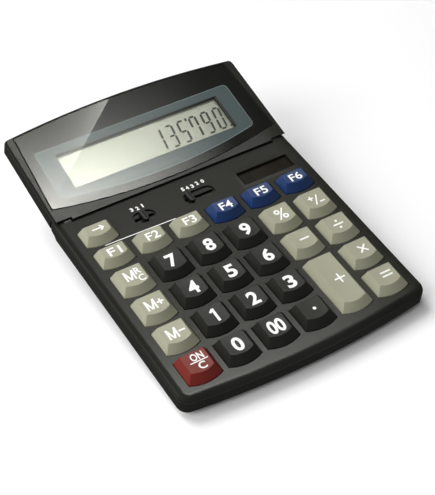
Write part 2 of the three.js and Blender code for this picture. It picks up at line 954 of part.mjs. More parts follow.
function rubberKeypad() {
  const side = keyWidth / 2 + sheetMargin;
  const left = columnX(0) - side;
  const right = columnX(columns - 1) + side;
  const front = -keyDepth / 2 - sheetMargin;
  const back = functionRowY + shortKeyDepth / 2 + sheetMargin;
  const rear = shiftRowY + shortKeyDepth / 2 + sheetMargin;
  const tab = columnX(0) + side;
  const outline = [
    point(left, front),
    point(right, front),
    point(right, back),
    point(tab, back),
    point(tab, rear),
    point(left, rear),
  ];
  const domes = keys.map(({ x, y }) => dome(x, y));
  return join(solid(extruded(outline, sheetBottom, sheetTop)), domes);
}

function mainBoard() {
  const blob = new THREE.SphereGeometry(blobRadius, barrelSides, pinSides);
  blob.scale(1, 1, (blobHeight + boardThickness) / blobRadius).translate(0, rowY[1], boardTop);
  const holes = boardStakePlaces.map(([x, y]) => post(x, y, holeRadius, -slabThickness, 0, pinSides));
  const plate = block(-boardHalf, boardHalf, boardFrontY, boardBackY, boardBottom, boardTop);
  const room = extruded(hollowOutline(wall + gap), boardBottom - boardThickness, boardTop);
  return cut(together([plate, blob]).intersect(solid(room)), holes);
}

// The cable lies on the board, climbs to the hinge axis and ends just inside the display
function ribbonCable() {
  const low = boardTop + gap;
  const high = hingeZ - cableThickness / 2;
  const flatEnd = boardBackY - cableRun;
  const climbEnd = hollowBack - cableThickness;
  const start = flatEnd - cableRun;
  const end = hingeY + cableRun / 2;
  const below = [point(start, low), point(flatEnd, low), point(climbEnd, high), point(end, high)];
  const above = below.map((each) => point(each.x, each.y + cableThickness)).reverse();
  return solid(profiled([...below, ...above], -cableWidth / 2, cableWidth / 2));
}

// Case screws point up, with their heads under the seats in the lower case
function addCaseScrews() {
  const seat = screwSeatZ - gap;
  const slot = screwHeadHeight / 3;
  for (const [name, x, y] of caseScrewPlaces) {
    const body = together([
      post(x, y, screwHeadRadius, seat - screwHeadHeight, seat, pinSides),
      post(x, y, screwRadius, seat - screwHeadHeight / 2, parting, pinSides),
    ]);
    const face = seat - screwHeadHeight;
    const arm = screwRadius + screwRadius;
    addPiece(deck, name, cut(body, [
      blockAt(x, y, arm, slot, face - slot, face + slot),
      blockAt(x, y, slot, arm, face - slot, face + slot),
    ]), steel);
  }
}

// Display

const displayBottom = displayTop - displayThickness;
const shellParting = displayTop - displayCrease;
const tongueHalf = earInner - hingeSeam;
const cavityFrontY = seatRadius + displayWall;
const lensBottom = displayTop - lensThickness;
const trayTop = lensBottom - gap;
const trayBottom = trayTop - displayFloor;
const glassTop = trayBottom - gap;
const glassBottom = glassTop - glassThickness;
const holderFloorTop = glassBottom - gap;
const holderBottom = holderFloorTop - holderFloor;
const windowWidth = glassWidth - glassSideMargin - glassSideMargin;
const windowDepth = glassDepth - glassFrontMargin - glassFrontMargin;
const stripWidth = glassWidth - stripInset - stripInset;
const displayBoardTop = holderBottom - gap;
const displayBoardBottom = displayBoardTop - displayBoardThickness;

// The bowed back edge and its corners, at an inset from the widest outline
function displayBack(inset, half) {
  const corner = Math.max(displayCorner - inset, gap);
  const backAt = (x) => displayDepth - inset + bowAt(x, caseHalf, displayBow);
  const cornerX = half - corner;
  const right = arc(cornerX, backAt(cornerX) - corner, corner, 0, Math.PI / 2);
  const back = bowed(cornerX, -cornerX, backAt, arcSteps + arcSteps).slice(1, -1);
  return [...right, ...back, ...mirrored(right)];
}

// Outline with a tongue between the ears of the case
function displayOutline(inset, tongueFront, sideInset, sideStart) {
  const half = caseHalf - sideInset;
  const right = [
    point(tongueHalf, tongueFront),
    point(tongueHalf, sideStart),
    point(half, sideStart),
  ];
  return [...right, ...displayBack(inset, half), ...mirrored(right)];
}

function displayHollow(inset, front) {
  const half = caseHalf - inset;
  return [point(-half, front), point(half, front), ...displayBack(inset, half)];
}

function displayRing(inset, tongueFront, height, sideInset = inset, sideStart = displaySideStart) {
  return { points: displayOutline(inset, tongueFront, sideInset, sideStart), height: flat(height) };
}

// The front shell's rolled edge, wide at the sides and narrow at the back, with a lip over each ear
function displayRoll() {
  const rings = [displayRing(0, -displayNose, shellParting, 0, displayLipStart)];
  for (let step = 0; step <= rollSteps; step += 1) {
    const angle = Math.PI / 2 * step / rollSteps;
    const turn = 1 - Math.cos(angle);
    const height = displayTop - displaySideRoll * (1 - Math.sin(angle));
    const back = displayEdge * turn;
    rings.push(displayRing(back, -displayNose, height, displaySideRoll * turn, displayLipStart));
  }
  return rings;
}

// Place of a point of the deck in the display's frame, with the display tilted all the way up
function atFullTilt(y, z) {
  return point(y - hingeY, z - hingeZ).rotateAround(point(0, 0), -displayTilt - displayTiltUp);
}

// The room that the edge of the fascia needs under the lip of the display
function lipNotch() {
  const top = gap;
  const bottom = -fasciaThickness - gap;
  const back = seamY + gap;
  const front = back - overrun;
  const corners = [[back, top], [front, top], [front, bottom], [back, bottom]];
  return profiled(corners.map(([y, z]) => atFullTilt(y, z)), -tongueHalf - gap, tongueHalf + gap);
}

// The round seats that clear the ears of the case
function earSeats() {
  const make = (left, right) => rod(0, 0, seatRadius, left, right, barrelSides);
  return onBothSides(make, tongueHalf, caseHalf + overrun);
}

function displayPinBores() {
  const make = (left, right) => rod(0, 0, boreRadius, left, right);
  return onBothSides(make, pinInner - gap, pinOuter + gap);
}

function lensOutline(grow) {
  const backAt = (x) => displayDepth - lensRim + grow + bowAt(x, caseHalf, displayBow);
  const frontAt = (x) => lensFront - grow + lensFrontBow - bowAt(x, lensFrontHalf, lensFrontBow);
  const half = lensFrontHalf + grow - gap;
  const front = bowed(-half, half, frontAt, arcSteps + arcSteps);
  const back = bowed(lensBackHalf + grow, -lensBackHalf - grow, backAt, arcSteps + arcSteps);
  return [...front, ...back];
}

// Posts that push the two shells together, and stakes that hold the display board
const shellPostX = caseHalf - displayWall - lowerBossRadius - gap;
const shellPostFrontY = cavityFrontY + lowerBossRadius + gap;
const shellPostBackY = displayDepth - displayWall - lowerBossRadius - gap;
const shellPostPlaces = [-1, 1].flatMap((side) => [
  [side * shellPostX, shellPostFrontY],
  [side * shellPostX, shellPostBackY],
]);
const displayStakeX = Math.abs(glassX) + glassWidth / 2 + gap + holderWall + gap + bossRadius;
const displayStakePlaces = [-1, 1].flatMap((side) => [
  [side * displayStakeX, glassY - displayStakeSpread],
  [side * displayStakeX, glassY + displayStakeSpread],
]);
const socketTop = displayBoardBottom;

// The front shell: a rolled frame round the lens, with a tray under it that holds the glass
function displayFrontCase() {
  const frame = solid(lofted(displayRoll()));
  const tray = extruded(displayHollow(displayWall + gap, cavityFrontY + gap), trayBottom, trayTop);
  const half = pinInner - gap;
  const frontTray = block(-half, half, barrelRadius, cavityFrontY + overrun, trayBottom, trayTop);
  const inTray = trayTop - displayFloor / 2;
  const pinBottom = displayBottom + displayFloor;
  const posts = shellPostPlaces.flatMap(([x, y]) => [
    post(x, y, bossRadius, socketTop + gap, inTray),
    post(x, y, screwRadius, pinBottom, inTray, pinSides),
  ]);
  const stakes = displayStakePlaces.flatMap(
    ([x, y]) => stake(x, y, displayBoardTop, displayBoardBottom, inTray),
  );
  return cut(join(frame, [tray, frontTray, ...posts, ...stakes]), [
    extruded(lensOutline(gap), trayTop, displayTop + overrun),
    blockAt(glassX, glassY, windowWidth, windowDepth, trayBottom - gap, displayTop),
    lipNotch(),
    ...earSeats(),
  ]);
}

// The section of the rear shell: a round nose over the hinge pins, then a slope to the bottom
function rearSection() {
  const lean = displayTilt + displayTiltUp;
  const nose = arc(0, 0, barrelRadius, Math.PI / 2 + lean, Math.PI - lean, arcSteps);
  const far = displayDepth + displayBow + overrun;
  return [
    ...nose,
    point(cavityFrontY, displayBottom - gap),
    point(far, displayBottom - gap),
    point(far, displayTop),
    point(nose[0].x, displayTop),
  ];
}

function displayRearCase() {
  const shell = solid(lofted([
    displayRing(displayBottomEdge, -barrelRadius, displayBottom),
    displayRing(0, -barrelRadius, displayBottom + displayBottomEdge),
    displayRing(0, -barrelRadius, shellParting - gap),
  ])).intersect(solid(profiled(rearSection(), -caseHalf, caseHalf)));
  const floor = displayBottom + displayFloor;
  const hollow = extruded(displayHollow(displayWall, cavityFrontY), floor, displayTop);
  const back = cavityFrontY + gap;
  const hollowTop = trayBottom - gap;
  const frontHollow = block(-pinInner, pinInner, barrelRadius - gap, back, hollowTop, displayTop);
  const cableHalf = cableWidth / 2 + gap + gap;
  const cableRise = barrelRadius * Math.tan(displayTilt + displayTiltUp);
  const cableReach = cableRise + cableThickness + gap;
  const cableHole = block(-cableHalf, cableHalf, -barrelRadius - gap, back, -cableReach, cableReach);
  const bosses = shellPostPlaces.map(
    ([x, y]) => post(x, y, lowerBossRadius, floor - gap, socketTop),
  );
  const sockets = shellPostPlaces.map(
    ([x, y]) => post(x, y, holeRadius, floor - gap, displayTop, pinSides),
  );
  return cut(join(cut(shell, [hollow, frontHollow, cableHole, lipNotch(), ...earSeats()]), bosses), [
    ...sockets,
    ...displayPinBores(),
  ]);
}

function lcdPanel() {
  return solid(blockAt(glassX, glassY, glassWidth, glassDepth, glassBottom, glassTop));
}

const stripY = glassY - glassDepth / 2 + stripDepth;

// A tray round the glass, with a slot in its floor for the contact strip
function lcdHolder() {
  const width = glassWidth + gap + gap;
  const depth = glassDepth + gap + gap;
  const grow = holderWall + holderWall;
  const body = blockAt(glassX, glassY, width + grow, depth + grow, holderBottom, glassTop);
  const slotWidth = stripWidth + gap + gap;
  const slotDepth = stripDepth + gap + gap;
  return cut(solid(body), [
    blockAt(glassX, glassY, width, depth, holderFloorTop, displayTop),
    blockAt(glassX, stripY, slotWidth, slotDepth, displayBottom, displayTop),
  ]);
}

function contactStrip() {
  return solid(blockAt(glassX, stripY, stripWidth, stripDepth, holderBottom, holderFloorTop));
}

function displayBoard() {
  const half = displayStakeX + bossRadius;
  const reach = glassDepth / 2;
  const plate = block(-half, half, glassY - reach, glassY + reach, displayBoardBottom, displayBoardTop);
  const holes = displayStakePlaces.map(
    ([x, y]) => post(x, y, holeRadius, displayBottom, displayTop, pinSides),
  );
  return cut(solid(plate), holes);
}

// Assembly

function addDeckPieces() {
  addPiece(deck, 'upper_case', upperCase(), casePlastic);
  addPiece(deck, 'lower_case', lowerCase(), casePlastic);
  addKeys();
  addPiece(deck, 'rounding_switch_knob', switchKnob(roundingKnobX), knobPlastic);
  addPiece(deck, 'decimal_switch_knob', switchKnob(decimalKnobX), knobPlastic);
  addPiece(deck, 'solar_window', solarWindow(), clearPlastic);
  addPiece(deck, 'solar_cell', solarCell(), cellGlass);
  addPiece(deck, 'rubber_keypad', rubberKeypad(), silicone);
  addPiece(deck, 'main_board', mainBoard(), boardLaminate);
  addPiece(deck, 'lcd_ribbon_cable', ribbonCable(), cableFilm);
  const pin = (left, right) => solid(rod(hingeY, hingeZ, pinRadius, left, right));
  addPiece(deck, 'hinge_pin_left', pin(-pinOuter, -pinInner), steel);
  addPiece(deck, 'hinge_pin_right', pin(pinInner, pinOuter), steel);
  addCaseScrews();
}

function addBasePieces() {
  addFeet();
  addPiece(calculator, 'battery_door', batteryDoor(), casePlastic);
  addPiece(calculator, 'button_cell', buttonCell(), steel);
  addPiece(calculator, 'battery_contact_positive', solid(contactStrap(1, cellBottom)), steel);
  addPiece(calculator, 'battery_contact_negative', negativeContact(), steel);
}

function addDisplayPieces() {
  addPiece(display, 'display_front_case', displayFrontCase(), casePlastic);
  addPiece(display, 'display_rear_case', displayRearCase(), casePlastic);
  const lens = solid(extruded(lensOutline(0), lensBottom, displayTop));
  addPiece(display, 'display_lens', lens, lensPlastic);
  addPiece(display, 'lcd_panel', lcdPanel(), lcdGlass);
  addPiece(display, 'lcd_holder', lcdHolder(), whitePlastic);
  addPiece(display, 'lcd_contact_strip', contactStrip(), contactRubber);
  addPiece(display, 'display_board', displayBoard(), boardLaminate);
}

addDeckPieces();
addBasePieces();
addDisplayPieces();

// The origin is on the desk, under the middle of the whole calculator
const bounds = new THREE.Box3().setFromObject(calculator, true);
calculator.position.y = -(bounds.min.y + bounds.max.y) / 2;
calculator.updateMatrixWorld(true);

export default calculator;
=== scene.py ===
import json
import math

import bmesh
import bpy
from mathutils import Matrix, Vector

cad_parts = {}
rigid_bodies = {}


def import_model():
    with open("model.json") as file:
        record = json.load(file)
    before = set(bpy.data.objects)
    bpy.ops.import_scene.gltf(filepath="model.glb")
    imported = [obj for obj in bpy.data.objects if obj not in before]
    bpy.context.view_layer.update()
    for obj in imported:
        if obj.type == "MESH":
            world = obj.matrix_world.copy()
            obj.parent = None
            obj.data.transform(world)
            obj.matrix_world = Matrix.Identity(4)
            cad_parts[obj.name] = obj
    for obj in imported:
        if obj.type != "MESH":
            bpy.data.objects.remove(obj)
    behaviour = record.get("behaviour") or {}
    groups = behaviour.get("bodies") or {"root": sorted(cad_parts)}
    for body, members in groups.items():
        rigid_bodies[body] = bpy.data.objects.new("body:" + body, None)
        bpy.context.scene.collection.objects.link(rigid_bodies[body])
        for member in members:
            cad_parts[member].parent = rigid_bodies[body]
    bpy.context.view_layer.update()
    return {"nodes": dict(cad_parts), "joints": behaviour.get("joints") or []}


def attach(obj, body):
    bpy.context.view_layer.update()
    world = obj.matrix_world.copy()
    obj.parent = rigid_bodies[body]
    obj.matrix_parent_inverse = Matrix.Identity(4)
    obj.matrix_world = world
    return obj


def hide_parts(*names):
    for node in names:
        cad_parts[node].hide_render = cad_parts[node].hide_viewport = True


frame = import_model()
nodes = frame["nodes"]

bl_info = {
    "name": "Desktop Calculator",
    "version": (1, 0, 0),
    "blender": (4, 5, 0),
    "location": "3D View > Sidebar > Calculator",
    "description": "Models a desktop calculator with thirty keys and a tilting display",
    "category": "Add Mesh",
}

MM = 0.001


# Sizes and colours

def size(name, description, default):
    return bpy.props.FloatProperty(
        name=name, description=description, default=default, unit="LENGTH", precision=5
    )


def angle(name, description, degrees):
    return bpy.props.FloatProperty(
        name=name, description=description, default=math.radians(degrees), unit="ROTATION"
    )


def amount(name, description, default):
    return bpy.props.FloatProperty(name=name, description=description, default=default, min=0)


def colour(name, description, default):
    return bpy.props.FloatVectorProperty(
        name=name, description=description, default=default, size=3, subtype="COLOR", min=0, max=1
    )


class CALCULATOR_PG_case(bpy.types.PropertyGroup):
    """Sizes of the case"""

    deck_tilt: angle("Deck tilt", "Slope of the keypad over the desk", 7.17)
    hinge_back: size("Hinge from the front row", "From the front row of keys to the hinge", 0.11955)
    hinge_depth: size("Hinge depth", "Hinge axis under the top of the keypad", 0.004)
    edge: size("Edge", "Rounding of crisp moulded edges", 0.00025)
    foot_edge: size("Foot edge", "Rounding of the rubber feet", 0.0006)
    mark_height: size("Mark height", "Height of the numbers over the switches", 0.0027)
    mark_rise: size("Mark rise", "How far printed marks stand over the plastic", 0.00002)
    line_width: size("Line width", "Width of the printed line", 0.0005)


class CALCULATOR_PG_keys(bpy.types.PropertyGroup):
    """Sizes of the keys, over the face of the keypad"""

    column_pitch: size("Column pitch", "Between two columns of keys", 0.023)
    row_pitch: size("Row pitch", "Between two rows of keys", 0.0213)
    function_row: size("Function row", "From the front row to the function keys", 0.084)
    shift_row: size("Shift row", "From the front row to the backspace key", 0.1017)
    width: size("Width", "Width of a cap over its shoulder", 0.0194)
    depth: size("Depth", "Depth of a full cap", 0.0155)
    short_depth: size("Short depth", "Depth of a function key", 0.011)
    bow: size("Bow", "How far the front of a cap bows out", 0.0024)
    top_bow: size("Top bow", "How far the front of its top bows out", 0.0019)
    height: size("Height", "Back of the top over the keypad", 0.00445)
    drop: size("Drop", "How much lower the front of the top lies", 0.00045)
    dish: size("Dish", "Hollow of the top under its rim", 0.00014)
    side_inset: size("Side inset", "How far each side slopes in", 0.0029)
    front_inset: size("Front inset", "How far the front slopes in", 0.0036)
    back_inset: size("Back inset", "How far the back slopes in", 0.00095)
    shoulder: size("Shoulder", "Top of the upright wall over the keypad", 0.0003)
    edge: size("Edge", "Rounding of the cap's edges", 0.0002)
    flange_width: size("Flange width", "Rim under the keypad that keeps the cap in", 0.0009)
    flange_top: size("Flange top", "Top of the rim under the keypad's face", -0.0021)
    flange_bottom: size("Flange bottom", "Underside of the rim", -0.003)
    wall: size("Wall", "Thickness of the cap", 0.0012)
    plunger: size("Plunger", "Radius of the post under the cap", 0.002)
    print_rise: size("Print rise", "How far a legend stands over the cap", 0.00003)
    print_depth: size("Print depth", "How deep a legend is set in the cap", 0.00008)


class CALCULATOR_PG_display(bpy.types.PropertyGroup):
    """Sizes of the display, from its hinge"""

    tilt: angle("Tilt", "Slope of the display over the keypad", 10)
    film_bottom: size("Film bottom", "Underside of the printed film over the hinge", 0.00446)
    film_top: size("Film top", "Top of the printed film over the hinge", 0.00452)
    lens_top: size("Lens top", "Top of the lens over the hinge", 0.00565)
    print_thickness: size("Print thickness", "Thickness of one printed layer", 0.00003)
    window_left: size("Window left", "Left edge of the clear window", -0.0530)
    window_right: size("Window right", "Right edge of the clear window", 0.0522)
    window_front: size("Window front", "Front edge of the clear window", 0.0172)
    window_back: size("Window back", "Back edge of the clear window", 0.0419)
    band_left: size("Band left", "Left edge of the printed band", -0.0632)
    band_right: size("Band right", "Right edge of the printed band", 0.0616)
    band_front: size("Band front", "Front edge of the printed band at its ends", 0.0146)
    band_back: size("Band back", "Back edge of the printed band", 0.0470)
    band_bow: size("Band bow", "How far the band's front edge bows out", 0.0066)
    band_corner: size("Band corner", "Radius of the band's corners", 0.0022)
    band_line: size("Band line", "Width of the line round the band", 0.0004)
    digit_front: size("Digit front", "Foot of the digits", 0.0196)
    digit_height: size("Digit height", "Height of the digits", 0.0162)
    digit_width: size("Digit width", "Width of the digits", 0.0052)
    digit_stroke: size("Digit stroke", "Width of a digit's strokes", 0.0013)
    digit_gap: size("Digit gap", "Gap between two strokes", 0.00028)
    digit_slant: angle("Digit slant", "How far the digits lean to the right", 7.7)
    digit_first: size("First digit", "Middle of the left digit", 0.00695)
    digit_pitch: size("Digit pitch", "Between two digits", 0.00793)
    digit_lift: size("Digit lift", "Liquid crystal layer over the reflector", 0.0003)


class CALCULATOR_PG_finishes(bpy.types.PropertyGroup):
    """Colours of the plastics and the prints"""

    case: colour("Case", "Satin case plastic", (0.0088, 0.0086, 0.0066))
    film: colour("Film", "Black print behind the lens", (0.0032, 0.0033, 0.0032))
    black_key: colour("Black keys", "Black key plastic", (0.0115, 0.0115, 0.0095))
    beige_key: colour("Beige keys", "Beige key plastic", (0.262, 0.262, 0.19))
    blue_key: colour("Blue keys", "Blue key plastic", (0.005, 0.024, 0.095))
    red_key: colour("Red key", "Red key plastic", (0.125, 0.014, 0.010))
    legend: colour("Legends", "White print on the keys", (0.82, 0.82, 0.80))
    band: colour("Band", "Printed band round the window", (0.05, 0.071, 0.076))
    band_line: colour("Band line", "Line round the printed band", (0.16, 0.2, 0.2))
    reflector: colour("Reflector", "Back of the liquid crystal glass", (0.262, 0.265, 0.232))
    digit: colour("Digits", "Liquid crystal digits", (0.05, 0.053, 0.045))


class CALCULATOR_PG_stage(bpy.types.PropertyGroup):
    """Strengths of the lights"""

    sky: amount("Sky", "Strength of the light from all sides", 0.2)
    overhead: amount("Overhead", "Power of the large soft light overhead", 30)
    side: amount("Side light", "Power of the low light on the left", 14)
    glint: amount("Glint", "Power of the light that the left slopes of the keys reflect", 1.5)
    card: amount("Card", "Brightness of the card that glossy surfaces reflect", 1)


GROUPS = {
    "calculator_case": CALCULATOR_PG_case,
    "calculator_keys": CALCULATOR_PG_keys,
    "calculator_display": CALCULATOR_PG_display,
    "calculator_finishes": CALCULATOR_PG_finishes,
    "calculator_stage": CALCULATOR_PG_stage,
}


def settings(group):
    return getattr(bpy.context.scene, "calculator_" + group)


# Places: the keypad leans back on the desk, and the display leans back on the keypad

def joint_named(name):
    return next(joint for joint in frame["joints"] if joint["name"] == name)


def hinge_place():
    return Matrix.Translation(Vector(joint_named("display_tilt")["pos_m"]))


def deck_place():
    case = settings("case")
    down = Matrix.Translation((0, -case.hinge_back, case.hinge_depth))
    return hinge_place() @ Matrix.Rotation(case.deck_tilt, 4, "X") @ down


def display_place():
    tilt = settings("case").deck_tilt + settings("display").tilt
    return hinge_place() @ Matrix.Rotation(tilt, 4, "X")


# Modelling

MERGE_DISTANCE = 0.005 * MM
FLAT_ANGLE = math.radians(0.4)
CRISP_ANGLE = math.radians(35)
SMOOTH_ANGLE = math.radians(38)

# An edge is rounded where its neighbours are longer than this many times its width
EDGE_ROOM = 2.5


def deselect_all():
    for each in bpy.context.view_layer.objects:
        each.select_set(False)


def activate(piece):
    deselect_all()
    bpy.context.view_layer.objects.active = piece
    piece.select_set(True)


def named(name):
    """The primitive that was just added, under its own name."""
    piece = bpy.context.object
    piece.name = name
    piece.data.name = name
    bpy.ops.object.transform_apply(location=True, rotation=True, scale=True)
    return piece


def add_block(name, low, high):
    low, high = Vector(low), Vector(high)
    deselect_all()
    bpy.ops.mesh.primitive_cube_add(size=1, location=(low + high) / 2, scale=high - low)
    return named(name)


def add_post(name, x, y, radius, bottom, top, sides=32):
    deselect_all()
    bpy.ops.mesh.primitive_cylinder_add(
        vertices=sides, radius=radius, depth=top - bottom, location=(x, y, (bottom + top) / 2)
    )
    return named(name)


def edit(piece):
    activate(piece)
    bpy.ops.object.mode_set(mode="EDIT")


def leave():
    bpy.ops.object.mode_set(mode="OBJECT")


def choose(piece, kind, test):
    """Selects what passes the test among the piece's VERT, EDGE or FACE elements, and nothing else."""
    bpy.ops.mesh.select_mode(type=kind)
    bpy.ops.mesh.select_all(action="DESELECT")
    shape = bmesh.from_edit_mesh(piece.data)
    elements = {"VERT": shape.verts, "EDGE": shape.edges, "FACE": shape.faces}[kind]
    chosen = [each for each in elements if test(each)]
    if not chosen:
        raise RuntimeError(f"{piece.name}: nothing there to work on")
    for each in chosen:
        each.select_set(True)
    shape.select_flush_mode()
    bmesh.update_edit_mesh(piece.data)


def evenly(start, end, count):
    return [start + (end - start) * step / count for step in range(1, count)]


def slice_up(axis, places):
    """Cuts the piece being edited into slices across an axis."""
    normal = Vector((0, 0, 0))
    normal[axis] = 1
    for place in places:
        bpy.ops.mesh.select_all(action="SELECT")
        bpy.ops.mesh.bisect(plane_co=normal * place, plane_no=normal)


def shift_chosen(piece, move):
    """Moves the chosen vertices of the piece being edited to where a function sends them."""
    shape = bmesh.from_edit_mesh(piece.data)
    for vertex in shape.verts:
        if vertex.select:
            vertex.co = move(vertex.co)
    shape.normal_update()
    bmesh.update_edit_mesh(piece.data)


def shift_all(piece, move):
    bpy.ops.mesh.select_all(action="SELECT")
    shift_chosen(piece, move)


def raise_chosen(height):
    bpy.ops.mesh.extrude_region_move(TRANSFORM_OT_translate={"value": (0, 0, height)})


def apply_modifier(piece, kind, **options):
    activate(piece)
    modifier = piece.modifiers.new(kind.title(), kind)
    for name, value in options.items():
        setattr(modifier, name, value)
    bpy.ops.object.modifier_apply(modifier=modifier.name)


def combine(piece, operation, other):
    """Adds another piece by UNION, or cuts it away by DIFFERENCE, and uses it up."""
    apply_modifier(piece, "BOOLEAN", operation=operation, object=other, solver="EXACT")
    bpy.data.objects.remove(other)


def join_pieces(name, pieces):
    activate(pieces[0])
    for each in pieces[1:]:
        each.select_set(True)
    if len(pieces) > 1:
        bpy.ops.object.join()
    joined = bpy.context.object
    joined.name = name
    joined.data.name = name
    return joined


def copy_of(piece, name):
    copied = bpy.data.objects.new(name, piece.data.copy())
    bpy.context.collection.objects.link(copied)
    return copied


def carry_over(name, node):
    """A merged copy of a CAD node, with each flat face in one piece."""
    piece = copy_of(nodes[node], name)
    piece.data.name = name
    piece.data.materials.clear()
    activate(piece)
    bpy.ops.mesh.customdata_custom_splitnormals_clear()
    edit(piece)
    bpy.ops.mesh.select_all(action="SELECT")
    bpy.ops.mesh.remove_doubles(threshold=MERGE_DISTANCE)
    bpy.ops.mesh.dissolve_limited(angle_limit=FLAT_ANGLE)
    leave()
    return piece


def soften_edges(piece, width, steps=2):
    """Rounds the crisp outer edges that have room for it."""
    room = width * EDGE_ROOM

    def has_room(vertex):
        return all(edge.calc_length() > room for edge in vertex.link_edges)

    def is_crisp(edge):
        if len(edge.link_faces) != 2 or not edge.is_convex:
            return False
        if edge.calc_face_angle(0) < CRISP_ANGLE:
            return False
        return all(has_room(vertex) for vertex in edge.verts)

    edit(piece)
    choose(piece, "EDGE", is_crisp)
    bpy.ops.mesh.bevel(offset=width, segments=steps, affect="EDGES", clamp_overlap=True)
    leave()


def smooth(piece):
    activate(piece)
    bpy.ops.object.shade_smooth_by_angle(angle=SMOOTH_ANGLE)
    apply_modifier(piece, "WEIGHTED_NORMAL", mode="FACE_AREA", weight=50, keep_sharp=True)


def settle(piece, body, finish, place=None, stands_for=()):
    """Puts a finished piece in its place, on its body and in its material."""
    if place is not None:
        piece.data.transform(place)
    piece.data.materials.clear()
    piece.data.materials.append(finish)
    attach(piece, body)
    if stands_for:
        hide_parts(*stands_for)


def refine(name, node, body, finish, steps=2, edge=None):
    """Stands in for a CAD node with the same shape, rounded along its crisp edges."""
    piece = carry_over(name, node)
    soften_edges(piece, edge or settings("case").edge, steps)
    smooth(piece)
    settle(piece, body, finish, stands_for=[node])


def bow_at(x, half, bow):
    """Height of a bowed edge over the ends of its chord."""
    radius = (half * half + bow * bow) / (2 * bow)
    return math.sqrt(max(radius * radius - x * x, 0)) - (radius - bow)


# Materials

# Sockets of a Mix node that blends two colours
MIX_SHARE, MIX_FIRST, MIX_SECOND = 0, 6, 7


class Wire:
    """A socket of a material, for shader maths written as plain sums."""

    def __init__(self, finish, socket):
        self.finish = finish
        self.socket = socket

    def maths(self, operation, first, second=None):
        values = {0: first} if second is None else {0: first, 1: second}
        return self.finish.add("Math", {"operation": operation}, values)[0]

    def __add__(self, other):
        return self.maths("ADD", self, other)

    __radd__ = __add__

    def __sub__(self, other):
        return self.maths("SUBTRACT", self, other)

    def __rsub__(self, other):
        return self.maths("SUBTRACT", other, self)

    def __mul__(self, other):
        return self.maths("MULTIPLY", self, other)

    __rmul__ = __mul__

    def __truediv__(self, other):
        return self.maths("DIVIDE", self, other)

    def __pow__(self, other):
        return self.maths("POWER", self, other)

    def __gt__(self, other):
        return self.maths("GREATER_THAN", self, other)

    def __lt__(self, other):
        return self.maths("LESS_THAN", self, other)

    def fraction(self):
        return self.maths("FRACT", self)

    def exponent(self):
        return self.maths("EXPONENT", self)

    def above(self, other):
        return self.maths("MAXIMUM", self, other)

    def below(self, other):
        return self.maths("MINIMUM", self, other)


class Finish:
    """A material under construction, whose patterns are fixed to the piece."""

    def __init__(self, name):
        self.material = bpy.data.materials.new(name)
        self.material.use_nodes = True
        self.tree = self.material.node_tree
        self.tree.nodes.clear()
        self.place = self.add("TexCoord", outputs=["Object"])[0]

    def add(self, kind, options=None, sockets=None, outputs=None):
        """Adds a node, with its settings first and then its values and links, and gives its outputs."""
        node = self.tree.nodes.new("ShaderNode" + kind)
        for name, value in (options or {}).items():
            setattr(node, name, value)
        for name, value in (sockets or {}).items():
            if isinstance(value, Wire):
                self.tree.links.new(value.socket, node.inputs[name])
            else:
                node.inputs[name].default_value = value
        if outputs:
            return [Wire(self, node.outputs[name]) for name in outputs]
        return [Wire(self, output) for output in node.outputs if output.enabled]

    def back_of_surface(self):
        """One on the inner side of a surface, and nought on its outer side."""
        return self.add("NewGeometry", outputs=["Backfacing"])[0]

    def across(self):
        """The x, y and z of a place on the piece, in metres."""
        return self.add("SeparateXYZ", sockets={0: self.place})

    def noise(self, scale, detail=2, roughness=0.5):
        sockets = {"Vector": self.place, "Scale": scale, "Detail": detail, "Roughness": roughness}
        return self.add("TexNoise", sockets=sockets)[0]

    def blend(self, share, first, second):
        """A colour between two, by a share of the second."""
        sockets = {MIX_SHARE: share, MIX_FIRST: opaque(first), MIX_SECOND: opaque(second)}
        return self.add("Mix", {"data_type": "RGBA"}, sockets)[0]

    def bump(self, height, depth):
        return self.add("Bump", sockets={"Height": height, "Distance": depth})[0]

    def plastic(self, sockets):
        return self.done(self.add("BsdfPrincipled", sockets=sockets)[0])

    def done(self, shader):
        self.add("OutputMaterial", sockets={0: shader})
        return self.material


MATERIALS = {}


def opaque(colour):
    return colour if isinstance(colour, Wire) else (*colour, 1)


def shade(base, factor):
    return [min(value * factor, 1) for value in base]


def material(name, make, *values, **options):
    """A named material, made the first time that it is asked for."""
    if name not in MATERIALS:
        MATERIALS[name] = make(name, *values, **options)
    return MATERIALS[name]


# Palms polish the case up to this far back and to the right, and the right edge stays as rough as new
PALM_END = -0.055
PALM_RIGHT = 0.053
PALM_FADE = 0.035
PALM_POLISH = 0.38
NEW_START = 0.058
NEW_FADE = 0.012
NEW_ROUGHNESS = 0.35


def moulded(name, base, roughness, gloss=0.5, spread=0.12, worn=False):
    """Moulded plastic: slow drift of colour and gloss, and the fine grain of a spark-eroded mould."""
    finish = Finish(name)
    drift = finish.noise(scale=45, detail=3)
    grit = finish.noise(scale=2600)
    handling = finish.noise(scale=260, detail=4)
    tone = finish.blend(drift, shade(base, 1 - spread), shade(base, 1 + spread))
    tone = finish.blend((grit > 0.56) * 0.25, tone, shade(base, 1 + spread * 2.5))
    rough = roughness + (handling - 0.5) * 0.14 + (grit - 0.5) * 0.08
    sockets = {"Base Color": tone, "Specular IOR Level": gloss, "Normal": finish.bump(grit, 0.02 * MM)}
    if worn:
        x, y, _ = finish.across()
        rough = rough + ((x - NEW_START) / NEW_FADE).above(0).below(1) * NEW_ROUGHNESS
        polish = ((PALM_END - y) / PALM_FADE).above(0).below(1) * (0.8 + handling * 0.4)
        polish = polish * ((PALM_RIGHT - x) / PALM_FADE).above(0).below(1)
        sockets["Coat Weight"] = polish * PALM_POLISH
        sockets["Coat Roughness"] = 0.3
    sockets["Roughness"] = rough
    return finish.plastic(sockets)


